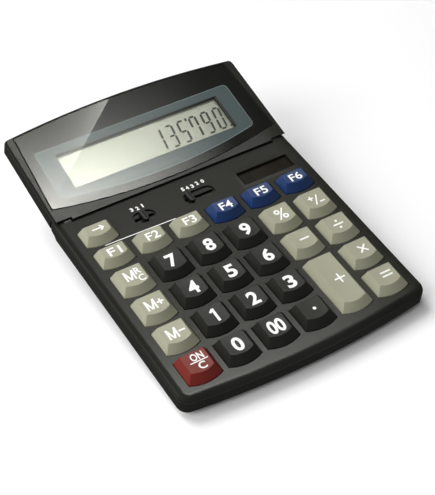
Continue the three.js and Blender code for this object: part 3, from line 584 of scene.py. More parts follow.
def printed(name, base, roughness=0.5, gloss=0.3):
    """Screen print: flat ink with pinholes and a faint mesh."""
    finish = Finish(name)
    cover = finish.noise(scale=900, detail=3)
    mesh = finish.noise(scale=5200, detail=1)
    return finish.plastic({
        "Base Color": finish.blend(cover, shade(base, 0.9), shade(base, 1.06)),
        "Roughness": roughness + (cover - 0.5) * 0.2,
        "Specular IOR Level": gloss,
        "Normal": finish.bump(mesh, 0.004 * MM),
    })


ACRYLIC_IOR = 1.49
ACRYLIC_TINT = (0.96, 0.97, 0.96, 1)


def clear_lens(name):
    """Clear acrylic: its face mirrors by its angle, and the print behind it takes the rest."""
    finish = Finish(name)
    wipe = finish.noise(scale=38, detail=4, roughness=0.6)
    dust = finish.noise(scale=1900)
    haze = 0.004 + wipe * 0.01 + (dust > 0.72) * 0.004
    mirror = finish.add("BsdfGlossy", sockets={"Roughness": haze, "Color": (1, 1, 1, 1)})[0]
    through = finish.add("BsdfTransparent", sockets={"Color": ACRYLIC_TINT})[0]
    share = finish.add("Fresnel", sockets={"IOR": ACRYLIC_IOR})[0] * (1 - finish.back_of_surface())
    return finish.done(finish.add("MixShader", sockets={0: share, 1: through, 2: mirror})[0])


# The strips of the solar cell, and the shades of the cell and of the window over it
STRIP_PITCH = 0.0065
WINDOW_SHADES = (0.010, 0.009, 0.007), (0.016, 0.013, 0.009)
WINDOW_STRIP = (0.003, 0.003, 0.003)
CELL_SHADES = (0.022, 0.012, 0.008), (0.036, 0.02, 0.014)
CELL_LINE = (0.006, 0.005, 0.005)


def smoked_window(name):
    """Dark glass over the solar cell, with the cell's strips just showing through it."""
    finish = Finish(name)
    x = finish.across()[0]
    wipe = finish.noise(scale=120, detail=4, roughness=0.6)
    strip = (x / STRIP_PITCH).fraction() < 0.06
    tone = finish.blend(wipe, *WINDOW_SHADES)
    return finish.plastic({
        "Base Color": finish.blend(strip * 0.7, tone, WINDOW_STRIP),
        "Roughness": 0.08 + wipe * 0.08,
        "Specular IOR Level": 0.5,
        "Normal": finish.bump(wipe, 0.01 * MM),
    })


def solar_film(name):
    """Brown amorphous cell, cut in strips by fine scribed lines."""
    finish = Finish(name)
    strip = (finish.across()[0] / STRIP_PITCH).fraction()
    scribed = (strip < 0.05) + (strip > 0.97)
    cloud = finish.noise(scale=160, detail=3)
    tone = finish.blend(cloud, *CELL_SHADES)
    return finish.plastic({
        "Base Color": finish.blend(scribed, tone, CELL_LINE),
        "Roughness": 0.3 + cloud * 0.1,
    })


def reflector(name, base):
    """Liquid crystal glass over its brushed reflector."""
    finish = Finish(name)
    fleck = finish.noise(scale=3800)
    cloud = finish.noise(scale=30)
    tone = finish.blend(fleck, shade(base, 0.93), shade(base, 1.07))
    return finish.plastic({
        "Base Color": finish.blend(cloud * 0.3, tone, shade(base, 1.08)),
        "Metallic": 0.4,
        "Roughness": 0.26 + fleck * 0.06,
        "Specular IOR Level": 0.4,
        "Normal": finish.bump(fleck, 0.006 * MM),
    })


STEEL_SHADES = (0.44, 0.44, 0.43), (0.62, 0.61, 0.58)


def plated_steel(name):
    finish = Finish(name)
    brush = finish.noise(scale=1400, detail=4, roughness=0.7)
    return finish.plastic({
        "Base Color": finish.blend(brush, *STEEL_SHADES),
        "Metallic": 1,
        "Roughness": 0.26 + brush * 0.2,
        "Normal": finish.bump(brush, 0.008 * MM),
    })


def rubbery(name, base, roughness=0.78):
    finish = Finish(name)
    dust = finish.noise(scale=700, detail=4, roughness=0.6)
    pores = finish.noise(scale=4200)
    return finish.plastic({
        "Base Color": finish.blend(dust, shade(base, 0.85), shade(base, 1.25)),
        "Roughness": roughness + (dust - 0.5) * 0.15,
        "Specular IOR Level": 0.35,
        "Normal": finish.bump(pores, 0.03 * MM),
    })


# Pitch of the board's tracks in both directions, with a pad at every second one
TRACK_X = 0.0023
TRACK_Y = 0.0031
MASK_SHADES = (0.018, 0.10, 0.035), (0.028, 0.135, 0.05)
MASKED_COPPER = (0.06, 0.23, 0.075)
TINNED_PAD = (0.55, 0.54, 0.5)


def laminate(name):
    """Green solder mask over copper tracks, with tinned pads."""
    finish = Finish(name)
    x, y, _ = finish.across()
    weave = finish.noise(scale=2200)
    shift = (finish.noise(scale=55, detail=0) > 0.5) * 0.5
    track = ((x / TRACK_X + shift).fraction() < 0.3) * ((y / TRACK_Y).fraction() < 0.86)
    pad = ((x / (2 * TRACK_X)).fraction() < 0.22) * ((y / (2 * TRACK_Y)).fraction() < 0.16)
    tone = finish.blend(track, finish.blend(weave, *MASK_SHADES), MASKED_COPPER)
    return finish.plastic({
        "Base Color": finish.blend(pad, tone, TINNED_PAD),
        "Metallic": pad * 0.8,
        "Roughness": 0.42 - pad * 0.12,
        "Normal": finish.bump(track + weave * 0.1, 0.03 * MM),
    })


CABLE_TRACK = 0.001
CABLE_SHADES = (0.045, 0.028, 0.012), (0.065, 0.04, 0.018)
CABLE_COPPER = (0.11, 0.06, 0.03)


def cable_film(name):
    """Amber film with copper tracks along it."""
    finish = Finish(name)
    track = (finish.across()[0] / CABLE_TRACK).fraction() < 0.5
    drift = finish.noise(scale=300, detail=3)
    return finish.plastic({
        "Base Color": finish.blend(track, finish.blend(drift, *CABLE_SHADES), CABLE_COPPER),
        "Roughness": 0.3 + drift * 0.15,
        "Normal": finish.bump(track, 0.02 * MM),
    })


def case_material():
    return material("case_plastic", moulded, settings("finishes").case, 0.34, gloss=0.3, worn=True)


def shell_material():
    return material("shell_plastic", moulded, settings("finishes").case, 0.55, gloss=0.22)


def key_material(slot):
    finishes = settings("finishes")
    if slot == BLACK:
        return material(slot, moulded, finishes.black_key, 0.34, gloss=0.22)
    if slot == BLUE:
        return material(slot, moulded, finishes.blue_key, 0.34, gloss=0.45)
    if slot == RED:
        return material(slot, moulded, finishes.red_key, 0.36, gloss=0.26)
    return material(slot, moulded, finishes.beige_key, 0.36, gloss=0.5, spread=0.05)


def legend_material():
    return material("legend_ink", printed, settings("finishes").legend)


# Case

FOOT_RUBBER = (0.012, 0.012, 0.012)


def finish_case():
    refine("case_top", "upper_case", "base", case_material())
    refine("case_bottom", "lower_case", "base", shell_material())
    refine("battery_cover", "battery_door", "base", shell_material())


def finish_feet():
    edge = settings("case").foot_edge
    rubber = material("foot_rubber", rubbery, FOOT_RUBBER)
    for node in sorted(name for name in nodes if name.startswith("foot_")):
        refine("rubber_" + node, node, "base", rubber, steps=3, edge=edge)


# Keys

COLUMNS = 6
BLACK, BEIGE, BLUE, RED = (tone + "_key_plastic" for tone in ("black", "beige", "blue", "red"))


# The marks of a legend, in millimetres from the middle of its key

def word(text, x, y, height, width, weight=0.02):
    return {"kind": "word", "text": text, "x": x, "y": y, "height": height, "width": width,
            "weight": weight}


def bar(x, y, length, width, turn=0):
    return {"kind": "bar", "x": x, "y": y, "length": length, "width": width, "turn": turn}


def dot(x, y, radius):
    return {"kind": "dot", "x": x, "y": y, "radius": radius}


def digit(text, width=5.8):
    return [word(text, 0, 0, 8.5, width, 0.03)]


def cross(x, y, length, width):
    return [bar(x, y, length, width), bar(x, y, length, width, 90)]


def letter_m(x, y, height, width, stroke=1.05):
    """Two uprights and the two slants between them."""
    half = width / 2 - stroke / 2
    slant = math.hypot(half, height) - stroke / 2
    turn = math.degrees(math.atan2(height, half))
    return [
        bar(x - half, y, height, stroke, 90),
        bar(x + half, y, height, stroke, 90),
        bar(x - half / 2, y, slant, stroke, -turn),
        bar(x + half / 2, y, slant, stroke, turn),
    ]


def memory(*marks):
    return [*letter_m(-1.9, 0.2, 6.6, 5.8), *marks]


def function_name(number):
    return [word(f"F{number}", 0.2, 0.2, 5.3, 7.6, 0.015)]


ARROW = [bar(0.1, 0.8, 6.6, 0.8), bar(2.5, 1.65, 2.6, 0.8, -40), bar(2.5, -0.05, 2.6, 0.8, 40)]
CLEAR = [word("ON", 1.1, 3.4, 4.4, 7.0), bar(0.9, 0.6, 10, 0.6), word("C", 1.1, -2.4, 4.4, 4.2)]
DIVIDE = [bar(0, 0, 6.2, 1.0), dot(0, 2.5, 0.75), dot(0, -2.5, 0.75)]
EQUALS = [bar(1.2, 2.3, 6.4, 1.0), bar(1.2, -0.2, 6.4, 1.0)]
MINUS = [bar(0.8, 0.3, 5.8, 1.0)]
MULTIPLY = [bar(1.0, 0.3, 6.6, 1.0, 45), bar(1.0, 0.3, 6.6, 1.0, -45)]
ONE = [bar(0.5, 0, 8.4, 1.5, 90), bar(-0.6, 3.0, 2.6, 1.2, 40)]
PERCENT = [word("%", 0, 0, 7.6, 7.0, 0.01)]
PLUS = cross(1.0, 0, 6.4, 1.0)
POINT = [dot(0.6, 0.2, 0.95)]
RECALL = [*letter_m(-1.6, 1.1, 6.5, 5.8), word("R", 3.6, 2.6, 4.4, 3.4), word("C", 3.6, -2.6, 4.4, 3.6)]
SIGN_CHANGE = [*cross(-2.6, 1.6, 3.2, 0.9), bar(0.1, -0.3, 7.6, 0.8, 62), bar(2.8, -2.4, 3.0, 0.9)]

# The rows from the front, each from the left: a key's node, its plastic and its legend. The key that
# is two rows tall leaves a place free in both, and is added on its own
KEY_ROWS = [
    [
        ("key_on_clear", RED, CLEAR),
        ("key_0", BLACK, digit("0")),
        ("key_double_zero", BLACK, digit("00", 9.4)),
        ("key_point", BLACK, POINT),
        None,
        ("key_equals", BEIGE, EQUALS),
    ],
    [
        ("key_memory_minus", BEIGE, memory(bar(3.5, 0.2, 3.6, 1.0))),
        ("key_1", BLACK, ONE),
        ("key_2", BLACK, digit("2")),
        ("key_3", BLACK, digit("3")),
        None,
        ("key_multiply", BEIGE, MULTIPLY),
    ],
    [
        ("key_memory_plus", BEIGE, memory(*cross(3.5, 0.2, 3.6, 1.0))),
        ("key_4", BLACK, digit("4")),
        ("key_5", BLACK, digit("5")),
        ("key_6", BLACK, digit("6")),
        ("key_minus", BEIGE, MINUS),
        ("key_divide", BEIGE, DIVIDE),
    ],
    [
        ("key_memory_recall", BEIGE, RECALL),
        ("key_7", BLACK, digit("7")),
        ("key_8", BLACK, digit("8")),
        ("key_9", BLACK, digit("9")),
        ("key_percent", BEIGE, PERCENT),
        ("key_sign_change", BEIGE, SIGN_CHANGE),
    ],
]
FUNCTION_ROW = [(f"key_function_{number}", BEIGE if number < 4 else BLUE) for number in range(1, 7)]


def column_x(column):
    return (column - (COLUMNS - 1) / 2) * settings("keys").column_pitch


def key_list():
    """Every key with its node, plastic, legend, centre and depth."""
    keys = settings("keys")
    found = []
    for row, members in enumerate(KEY_ROWS):
        for column, member in enumerate(members):
            if member:
                found.append((*member, column_x(column), row * keys.row_pitch, keys.depth))
    for column, (node, slot) in enumerate(FUNCTION_ROW):
        legend = function_name(column + 1)
        found.append((node, slot, legend, column_x(column), keys.function_row, keys.short_depth))
    found.append(("key_backspace", BEIGE, ARROW, column_x(0), keys.shift_row, keys.short_depth))
    tall = keys.depth + keys.row_pitch
    found.append(("key_plus", BEIGE, PLUS, column_x(4), keys.row_pitch / 2, tall))
    return found


def cap_top(x, y, depth):
    """Height of a cap's dished top at a place on it."""
    keys = settings("keys")
    half = keys.width / 2 - keys.side_inset
    back = depth / 2 - keys.back_inset
    front = -depth / 2 - bow_at(min(abs(x), half), half, keys.top_bow) + keys.front_inset
    along = min(max((back - y) / (back - front), 0), 1)
    side = min(abs(x) / half, 1)
    hollow = keys.dish * (1 - side * side) * 4 * along * (1 - along)
    return keys.height - keys.drop * (depth / 2 - y) / depth - hollow


# A cap is cut in slices of about this depth, and in this many across
SLICE_DEPTH = 0.0021
SLICES_ACROSS = 12
CAP_EDGE_ANGLE = math.radians(25)
HAIR = 0.01 * MM

# A face lies level from this height of its normal on, and stands upright below the other one
LEVEL, UPRIGHT = 0.9, 0.1


def model_cap(name, depth):
    """A key cap: an upright wall, four slopes, a dished top, a rim below and a hollow underneath."""
    keys = settings("keys")
    half, reach = keys.width / 2, depth / 2
    bottom, top = keys.flange_bottom, keys.flange_top
    rows = max(6, round(depth / SLICE_DEPTH))

    def front_at(x):
        return -reach - bow_at(x, half, keys.bow)

    def along(place):
        """Share of the way from the back edge to the front edge."""
        return (reach - place.y) / (reach - front_at(place.x))

    def sloped(place, share):
        """A place on the wall's outline, moved in and up the four slopes by a share of their length."""
        x = place.x * (half - keys.side_inset * share) / half
        back = reach - keys.back_inset * share
        bow = keys.bow + (keys.top_bow - keys.bow) * share
        front = keys.front_inset * share - reach - bow_at(place.x, half, bow)
        return Vector((x, back + (front - back) * along(place), place.z))

    def topped(place):
        moved = sloped(place, 1)
        moved.z = cap_top(moved.x, moved.y, depth)
        return moved

    def in_hollow(face):
        centre = face.calc_center_median()
        share = keys.wall / depth
        inside = abs(centre.x) < half - keys.wall and share < along(centre) < 1 - share
        return face.normal.z < -LEVEL and centre.z < bottom + HAIR and inside

    piece = add_block(name, (-half, -reach, bottom), (half, reach, top))
    edit(piece)
    inner = half - keys.wall
    slice_up(0, [-inner, *evenly(-inner, inner, SLICES_ACROSS), inner])
    inner = reach - keys.wall
    slice_up(1, [-inner, *evenly(-inner, inner, rows), inner])
    shift_all(piece, lambda place: place - Vector((
        0, bow_at(place.x, half, keys.bow) * (reach - place.y) / depth, 0
    )))

    choose(piece, "FACE", lambda face: face.normal.z > LEVEL)
    raise_chosen(keys.shoulder - top)
    raise_chosen(keys.height - keys.shoulder)
    shift_chosen(piece, topped)

    choose(piece, "FACE", lambda face: (
        abs(face.normal.z) < UPRIGHT and face.calc_center_median().z < top
    ))
    bpy.ops.mesh.extrude_region_shrink_fatten(
        TRANSFORM_OT_shrink_fatten={"value": keys.flange_width, "use_even_offset": True}
    )

    roof = keys.height - keys.drop - keys.wall
    share = (roof - keys.shoulder) / (keys.height - keys.shoulder)
    choose(piece, "FACE", in_hollow)
    raise_chosen(keys.shoulder - bottom)
    raise_chosen(roof - keys.shoulder)
    shift_chosen(piece, lambda place: sloped(place, share))

    def is_edge(edge):
        low = min(vertex.co.z for vertex in edge.verts)
        crisp = edge.calc_face_angle(0) > CAP_EDGE_ANGLE
        return low > keys.shoulder - HAIR and crisp and edge.is_convex

    choose(piece, "EDGE", is_edge)
    bpy.ops.mesh.bevel(offset=keys.edge, segments=3, affect="EDGES", clamp_overlap=True)
    leave()

    post = add_post(name + "_post", 0, 0, keys.plunger, bottom, roof + keys.wall / 2, sides=24)
    combine(piece, "UNION", post)
    smooth(piece)
    return piece


def model_keys():
    masters = {}
    place = deck_place()
    for node, slot, _, x, y, depth in key_list():
        if depth not in masters:
            masters[depth] = model_cap(f"cap_{len(masters)}", depth)
        piece = copy_of(masters[depth], node + "_cap")
        centre = place @ Matrix.Translation((x, y, 0))
        settle(piece, node, key_material(slot), centre, [node])
    for master in masters.values():
        bpy.data.objects.remove(master)


# Legends and marks

# Marks are cut in squares of this size, so many to each side of their middle, to follow a curved top
PRINT_SQUARE = 1.5 * MM
PRINT_CUTS = 7


def fit_word(mark):
    """A word as a flat plate, as tall and wide as its mark says."""
    deselect_all()
    bpy.ops.object.text_add()
    text = bpy.context.object.data
    text.body = mark["text"]
    text.offset = mark["weight"]
    text.extrude = 0.5
    text.resolution_u = 4
    bpy.ops.object.convert(target="MESH")
    plate = bpy.context.object
    places = [vertex.co for vertex in plate.data.vertices]
    low = Vector(min(place[axis] for place in places) for axis in range(3))
    high = Vector(max(place[axis] for place in places) for axis in range(3))
    wide = mark["width"] * MM / (high.x - low.x)
    tall = mark["height"] * MM / (high.y - low.y)
    middle = (low + high) / 2
    for vertex in plate.data.vertices:
        moved = vertex.co - middle
        vertex.co = (moved.x * wide, moved.y * tall, moved.z)
    return plate


def fit_mark(mark):
    if mark["kind"] == "word":
        plate = fit_word(mark)
    elif mark["kind"] == "bar":
        reach, half = mark["length"] * MM / 2, mark["width"] * MM / 2
        plate = add_block("bar", (-reach, -half, -0.5), (reach, half, 0.5))
        plate.data.transform(Matrix.Rotation(math.radians(mark["turn"]), 4, "Z"))
    else:
        plate = add_post("dot", 0, 0, mark["radius"] * MM, -0.5, 0.5)
    plate.data.transform(Matrix.Translation((mark["x"] * MM, mark["y"] * MM, 0)))
    return plate


def lay_print(name, marks, height_at, rise, sunk):
    """Marks as thin plates that follow a surface, set a little into it."""
    bars = [fit_mark(mark) for mark in marks if mark["kind"] == "bar"]
    plates = [fit_mark(mark) for mark in marks if mark["kind"] != "bar"]
    for each in bars[1:]:
        combine(bars[0], "UNION", each)
    piece = join_pieces(name, bars[:1] + plates)
    cuts = [step * PRINT_SQUARE for step in range(-PRINT_CUTS, PRINT_CUTS)]
    edit(piece)
    slice_up(0, cuts)
    slice_up(1, cuts)
    shift_all(piece, lambda place: Vector((
        place.x, place.y, height_at(place.x, place.y) + (rise if place.z > 0 else -sunk)
    )))
    bpy.ops.mesh.normals_make_consistent(inside=False)
    leave()
    activate(piece)
    bpy.ops.object.shade_flat()
    return piece


def print_legends():
    keys = settings("keys")
    place = deck_place()
    for node, _, marks, x, y, depth in key_list():
        piece = lay_print(
            node + "_legend", marks, lambda u, v: cap_top(u, v, depth), keys.print_rise, keys.print_depth
        )
        centre = place @ Matrix.Translation((x, y, 0))
        settle(piece, node, legend_material(), centre)


# Switches

# The figures at the switches and the printed line, in millimetres on the keypad
MARKS = {
    "rounding_marks": [("3", -32.9, 109.2), ("2", -29.6, 108.8), ("1", -26.2, 109.3)],
    "decimal_marks": [
        ("5", -0.4, 109.3), ("4", 2.4, 109.2), ("3", 5.5, 109.0), ("2", 8.9, 109.7), ("0", 12.5, 109.7),
    ],
}
MARK_WEIGHT = 0.035
LINE_LEFT, LINE_RIGHT = -58, -15.2
LINE_LEFT_Y, LINE_RIGHT_Y = 93.2, 92.1
KNOB_BLACK = (0.007, 0.007, 0.0065)


def mark_width(text):
    """Width of a figure as a share of its height."""
    return 0.3 if text == "1" else 0.66


def print_marks():
    rise = settings("case").mark_rise
    height = settings("case").mark_height / MM
    for name, members in MARKS.items():
        middle_x = sum(x for _, x, _ in members) / len(members)
        middle_y = members[0][2]
        marks = [
            word(text, x - middle_x, y - middle_y, height, height * mark_width(text), MARK_WEIGHT)
            for text, x, y in members
        ]
        piece = lay_print(name, marks, lambda x, y: 0, rise, rise)
        middle = Matrix.Translation((middle_x * MM, middle_y * MM, 0))
        settle(piece, "base", legend_material(), deck_place() @ middle)


def print_line():
    rise, half = settings("case").mark_rise, settings("case").line_width / 2
    left, right = LINE_LEFT * MM, LINE_RIGHT * MM
    slope = (LINE_RIGHT_Y - LINE_LEFT_Y) * MM / (right - left)
    line = add_block("printed_line", (left, -half, -rise), (right, half, rise))
    edit(line)
    shift_all(line, lambda place: place + Vector((0, LINE_LEFT_Y * MM + (place.x - left) * slope, 0)))
    bpy.ops.mesh.select_all(action="SELECT")
    bpy.ops.mesh.bevel(offset=rise / 3, segments=1, affect="EDGES")
    leave()
    settle(line, "base", legend_material(), deck_place())


def finish_knobs():
    plastic = material("knob_plastic", moulded, KNOB_BLACK, 0.3)
    for node in ("rounding_switch_knob", "decimal_switch_knob"):
        refine(node.replace("_knob", "_slider"), node, node, plastic)


# Solar window

def finish_solar():
    smoked = material("smoked_plastic", smoked_window)
    refine("solar_cover", "solar_window", "base", smoked)
    dress("solar_cell", material("cell_glass", solar_film))


# Display

BAND_SLICES = 24


def finish_display_shells():
    refine("display_frame", "display_front_case", "display", case_material())
    refine("display_back", "display_rear_case", "display", shell_material())


def stretch(piece, bottom, top):
    """Sets the bottom and top of a flat plate that lies in the display's frame."""
    heights = [vertex.co.z for vertex in piece.data.vertices]
    middle = (min(heights) + max(heights)) / 2
    for vertex in piece.data.vertices:
        vertex.co.z = top if vertex.co.z > middle else bottom


def window_block(bottom, top):
    display = settings("display")
    low = (display.window_left, display.window_front, bottom)
    high = (display.window_right, display.window_back, top)
    return add_block("window", low, high)


def upright(height):
    """A test for the edges that run up the side of a plate of this height."""
    return lambda edge: abs(edge.verts[0].co.z - edge.verts[1].co.z) > height / 2


def band_plate(name, grow, bottom, top):
    """The printed band: a rounded plate with a bowed front edge, from which the window is cut
    afterwards.
    """
    display = settings("display")
    left, right = display.band_left - grow, display.band_right + grow
    front, back = display.band_front - grow, display.band_back + grow
    middle, half = (left + right) / 2, (right - left) / 2
    piece = add_block(name, (left, front, bottom), (right, back, top))
    edit(piece)
    choose(piece, "EDGE", upright(top - bottom))
    bpy.ops.mesh.bevel(offset=display.band_corner + grow, segments=6, affect="EDGES")
    slice_up(0, evenly(left, right, BAND_SLICES))

    def bowed(place):
        if place.y > (front + back) / 2:
            return place
        return place - Vector((0, bow_at(place.x - middle, half, display.band_bow), 0))

    shift_all(piece, bowed)
    leave()
    return piece


def model_lens():
    """The clear plate, and under it the black film with its printed band and window."""
    display = settings("display")
    finishes = settings("finishes")
    place = display_place()
    step = display.print_thickness
    plate = carry_over("lens_plate", "display_lens")
    plate.data.transform(place.inverted())
    film = copy_of(plate, "lens_film")
    stretch(plate, display.film_top + step * 3, display.lens_top)
    soften_edges(plate, settings("case").edge)
    smooth(plate)
    clear = material("lens_plastic", clear_lens)
    settle(plate, "display", clear, place, ["display_lens"])

    stretch(film, display.film_bottom, display.film_top)
    line_top = display.film_top + step
    line = band_plate("lens_band_line", display.band_line, display.film_top, line_top)
    band = band_plate("lens_band", 0, line_top, display.film_top + step * 2)
    layers = [
        (film, material("film_ink", printed, finishes.film, 0.6, 0.03)),
        (line, material("band_line_ink", printed, finishes.band_line)),
        (band, material("band_ink", printed, finishes.band)),
    ]
    for layer, ink in layers:
        combine(layer, "DIFFERENCE", window_block(display.film_bottom - MM, display.lens_top + MM))
        settle(layer, "display", ink, place)


# Liquid crystal digits

SEGMENTS = {"0": "abcdef", "1": "bc", "3": "abgcd", "5": "afgcd", "7": "afbc", "9": "abcdfg"}
READING = "135790"
MARK_AFTER = 2
DIGIT_THICKNESS = 0.02 * MM


def stroke(start, end, width, bottom, top):
    """A stroke of a digit, with pointed ends."""
    reach = (end - start).length
    piece = add_block("stroke", (0, -width / 2, bottom), (reach, width / 2, top))
    edit(piece)
    choose(piece, "EDGE", upright(top - bottom))
    bpy.ops.mesh.bevel(offset=width * 0.48, segments=1, affect="EDGES")
    leave()
    turn = math.atan2(end.y - start.y, end.x - start.x)
    piece.data.transform(Matrix.Translation((*start, 0)) @ Matrix.Rotation(turn, 4, "Z"))
    return piece


def segment_lines():
    """Where each of a digit's seven strokes starts and ends, from the middle of its foot."""
    display = settings("display")
    gap = display.digit_gap
    right = display.digit_width / 2 - display.digit_stroke / 2
    middle = display.digit_height / 2
    foot, head = display.digit_stroke / 2, display.digit_height - display.digit_stroke / 2
    return {
        "a": ((-right + gap, head), (right - gap, head)),
        "b": ((right, middle + gap), (right, head - gap)),
        "c": ((right, foot + gap), (right, middle - gap)),
        "d": ((-right + gap, foot), (right - gap, foot)),
        "e": ((-right, foot + gap), (-right, middle - gap)),
        "f": ((-right, middle + gap), (-right, head - gap)),
        "g": ((-right + gap, middle), (right - gap, middle)),
    }


def model_digits():
    display = settings("display")
    inverse = display_place().inverted()
    glass = max((inverse @ vertex.co).z for vertex in nodes["lcd_panel"].data.vertices)
    bottom = glass + display.digit_lift
    top = bottom + DIGIT_THICKNESS
    lines = segment_lines()
    width = display.digit_stroke
    height, middle = display.digit_height, display.digit_height / 2
    strokes = []
    for index, number in enumerate(READING):
        shift = Vector((display.digit_first + index * display.digit_pitch, 0))
        for segment in SEGMENTS[number]:
            start, end = (Vector(place) + shift for place in lines[segment])
            strokes.append(stroke(start, end, width, bottom, top))
    mark_x = display.digit_first + (MARK_AFTER + 0.5) * display.digit_pitch
    point_x = display.digit_first + (len(READING) - 0.4) * display.digit_pitch
    for name, x, low, high in (
        ("mark", mark_x, height - width * 1.5, height),
        ("point", point_x, 0, width),
    ):
        strokes.append(add_block(name, (x - width / 2, low, bottom), (x + width / 2, high, top)))
    piece = join_pieces("lcd_digits", strokes)
    lean = math.tan(display.digit_slant)
    edit(piece)
    shift_all(piece, lambda place: Vector((
        place.x + (place.y - middle) * lean, place.y + display.digit_front, place.z
    )))
    leave()
    ink = material("digit_ink", printed, settings("finishes").digit)
    settle(piece, "display", ink, display_place())


def finish_glass():
    glass = material("lcd_glass", reflector, settings("finishes").reflector)
    refine("lcd_reflector", "lcd_panel", "display", glass)


# Inside

HOLDER_WHITE = (0.62, 0.62, 0.6)
KEYPAD_GREY = (0.24, 0.25, 0.24)
STRIP_GREY = (0.06, 0.065, 0.07)


def dress(node, finish):
    """Gives a CAD node that keeps its shape its own material."""
    data = nodes[node].data
    if data.materials:
        data.materials[0] = finish
    else:
        data.materials.append(finish)


def finish_inside():
    steel = material("steel", plated_steel)
    board = material("board_laminate", laminate)
    dress("main_board", board)
    dress("display_board", board)
    dress("lcd_holder", material("white_plastic", moulded, HOLDER_WHITE, 0.5))
    dress("rubber_keypad", material("silicone", rubbery, KEYPAD_GREY, 0.7))
    dress("lcd_contact_strip", material("contact_rubber", rubbery, STRIP_GREY))
    dress("lcd_ribbon_cable", material("cable_film", cable_film))
    for node in nodes:
        if node.startswith(("case_screw", "hinge_pin", "battery_contact", "button_cell")):
            dress(node, steel)


# Stage

# The camera's place in millimetres, and its turn in degrees
CAMERA_PLACE = (-281.593, -467.158, 486.332)
CAMERA_TURN = (48.61360, 0.69045, -32.17868)
CAMERA_LENS = 95.619

FLOOR_SIZE = 8
FLOOR_SHADES = (0.85, 0.85, 0.85), (0.87, 0.87, 0.87)

# Each light's place, the point that it faces, its width and its height, in metres
LIGHTS = {
    "overhead": ((-0.4, 0.95, 1.5), (0, 0, 0), 1.1, 1.1),
    "side": ((-1.0, -0.15, 0.75), (0, 0, 0.03), 1.0, 0.8),
    "glint": ((-1.1, 0.95, 0.3), (0, 0, 0.03), 0.8, 0.5),
}

# The card over the stage, in metres, and its glow at its near corner, along its slanted edge and past it
CARD_PLACE = (0.8, 0.85, 2.0)
CARD_SIZE = 1.3
GLARE_X, GLARE_Y = 0.56, 0.55
GLARE_REACH = 0.46
GLARE_FADE = 0.1
GLARE_GLOW = 15.3
GLARE_CURVE = 1.5
EDGE_X, EDGE_Y = 0.789, 0.735
EDGE_SLOPE = 0.79
STREAK_GLOW = 8
STREAK_FADE = 0.078
STREAK_RISE = 5
REST_GLOW = 0.42
REST_REACH = 0.5
FAR_Y = 0.75
FAR_REACH = 0.25
FAR_GLOW = 5
CARD_TONE = (1, 1, 0.93, 1)


def set_camera():
    camera = bpy.data.cameras.new("camera")
    camera.lens = CAMERA_LENS
    camera.sensor_width = 36
    camera.clip_start, camera.clip_end = 0.01, 30
    piece = bpy.data.objects.new("camera", camera)
    bpy.context.collection.objects.link(piece)
    piece.location = Vector(CAMERA_PLACE) * MM
    piece.rotation_euler = [math.radians(turn) for turn in CAMERA_TURN]
    bpy.context.scene.camera = piece


def add_area(name, place, target, width, height, power):
    light = bpy.data.lights.new(name, "AREA")
    light.shape = "RECTANGLE"
    light.size, light.size_y = width, height
    light.energy = power
    piece = bpy.data.objects.new(name, light)
    bpy.context.collection.objects.link(piece)
    piece.location = place
    piece.rotation_euler = (Vector(target) - Vector(place)).to_track_quat("-Z", "Y").to_euler()
    return piece


def set_floor():
    deselect_all()
    bpy.ops.mesh.primitive_plane_add(size=FLOOR_SIZE, location=(0, 0, 0))
    floor = named("floor")
    finish = Finish("floor_paint")
    floor.data.materials.append(finish.plastic({
        "Base Color": finish.blend(finish.noise(scale=6), *FLOOR_SHADES),
        "Roughness": 0.7,
        "Specular IOR Level": 0.2,
    }))
    floor.visible_glossy = False


def glare_card(strength):
    """A card with a soft glare in its near corner, a streak along a slanted edge and a far strip."""
    finish = Finish("glare_card")
    x, y, _ = finish.across()
    side = (1 - (x - GLARE_X) / GLARE_REACH).above(0).below(1)
    glare = side ** GLARE_CURVE * ((GLARE_Y - y).below(0) / GLARE_FADE).exponent()
    depth = (y - EDGE_Y) / EDGE_SLOPE - (x - EDGE_X)
    inside = (depth > 0) * (y < FAR_Y)
    streak = (0 - depth / STREAK_FADE).exponent() * (1 + (y - EDGE_Y) * STREAK_RISE).above(0).below(1)
    rest = (1 - (x - EDGE_X) / REST_REACH).above(0)
    far = (y > FAR_Y) * (1 - (y - FAR_Y) / FAR_REACH).above(0)
    glow = glare * GLARE_GLOW + inside * streak * STREAK_GLOW + (1 - inside) * rest * REST_GLOW
    glow = glow + far * FAR_GLOW
    sockets = {"Color": CARD_TONE, "Strength": glow * strength}
    return finish.done(finish.add("Emission", sockets=sockets)[0])


def add_card(strength):
    """The card that the lens and the glossy plastic mirror, out of the camera's sight."""
    deselect_all()
    bpy.ops.mesh.primitive_plane_add(size=CARD_SIZE, location=CARD_PLACE, rotation=(math.pi, 0, 0))
    card = named("glare_card")
    card.data.materials.append(glare_card(strength))
    card.visible_camera = False
    card.visible_diffuse = False
    card.visible_shadow = False


def set_lights():
    stage = settings("stage")
    world = bpy.data.worlds.new("studio")
    world.use_nodes = True
    background = world.node_tree.nodes["Background"]
    background.inputs["Color"].default_value = (1, 1, 1, 1)
    background.inputs["Strength"].default_value = stage.sky
    bpy.context.scene.world = world
    for name, setting in LIGHTS.items():
        light = add_area(name, *setting, getattr(stage, name))
        only_gloss = name == "glint"
        light.visible_glossy = only_gloss
        light.visible_diffuse = not only_gloss
        light.visible_camera = False
    add_card(stage.card)


# Operators

class CALCULATOR_OT_stage(bpy.types.Operator):
    """Sets the floor, the lights and the camera"""

    bl_idname = "calculator.stage"
    bl_label = "Stage"

    def execute(self, context):
        context.scene.view_settings.view_transform = "Standard"
        set_camera()
        set_floor()
        set_lights()
        return {"FINISHED"}


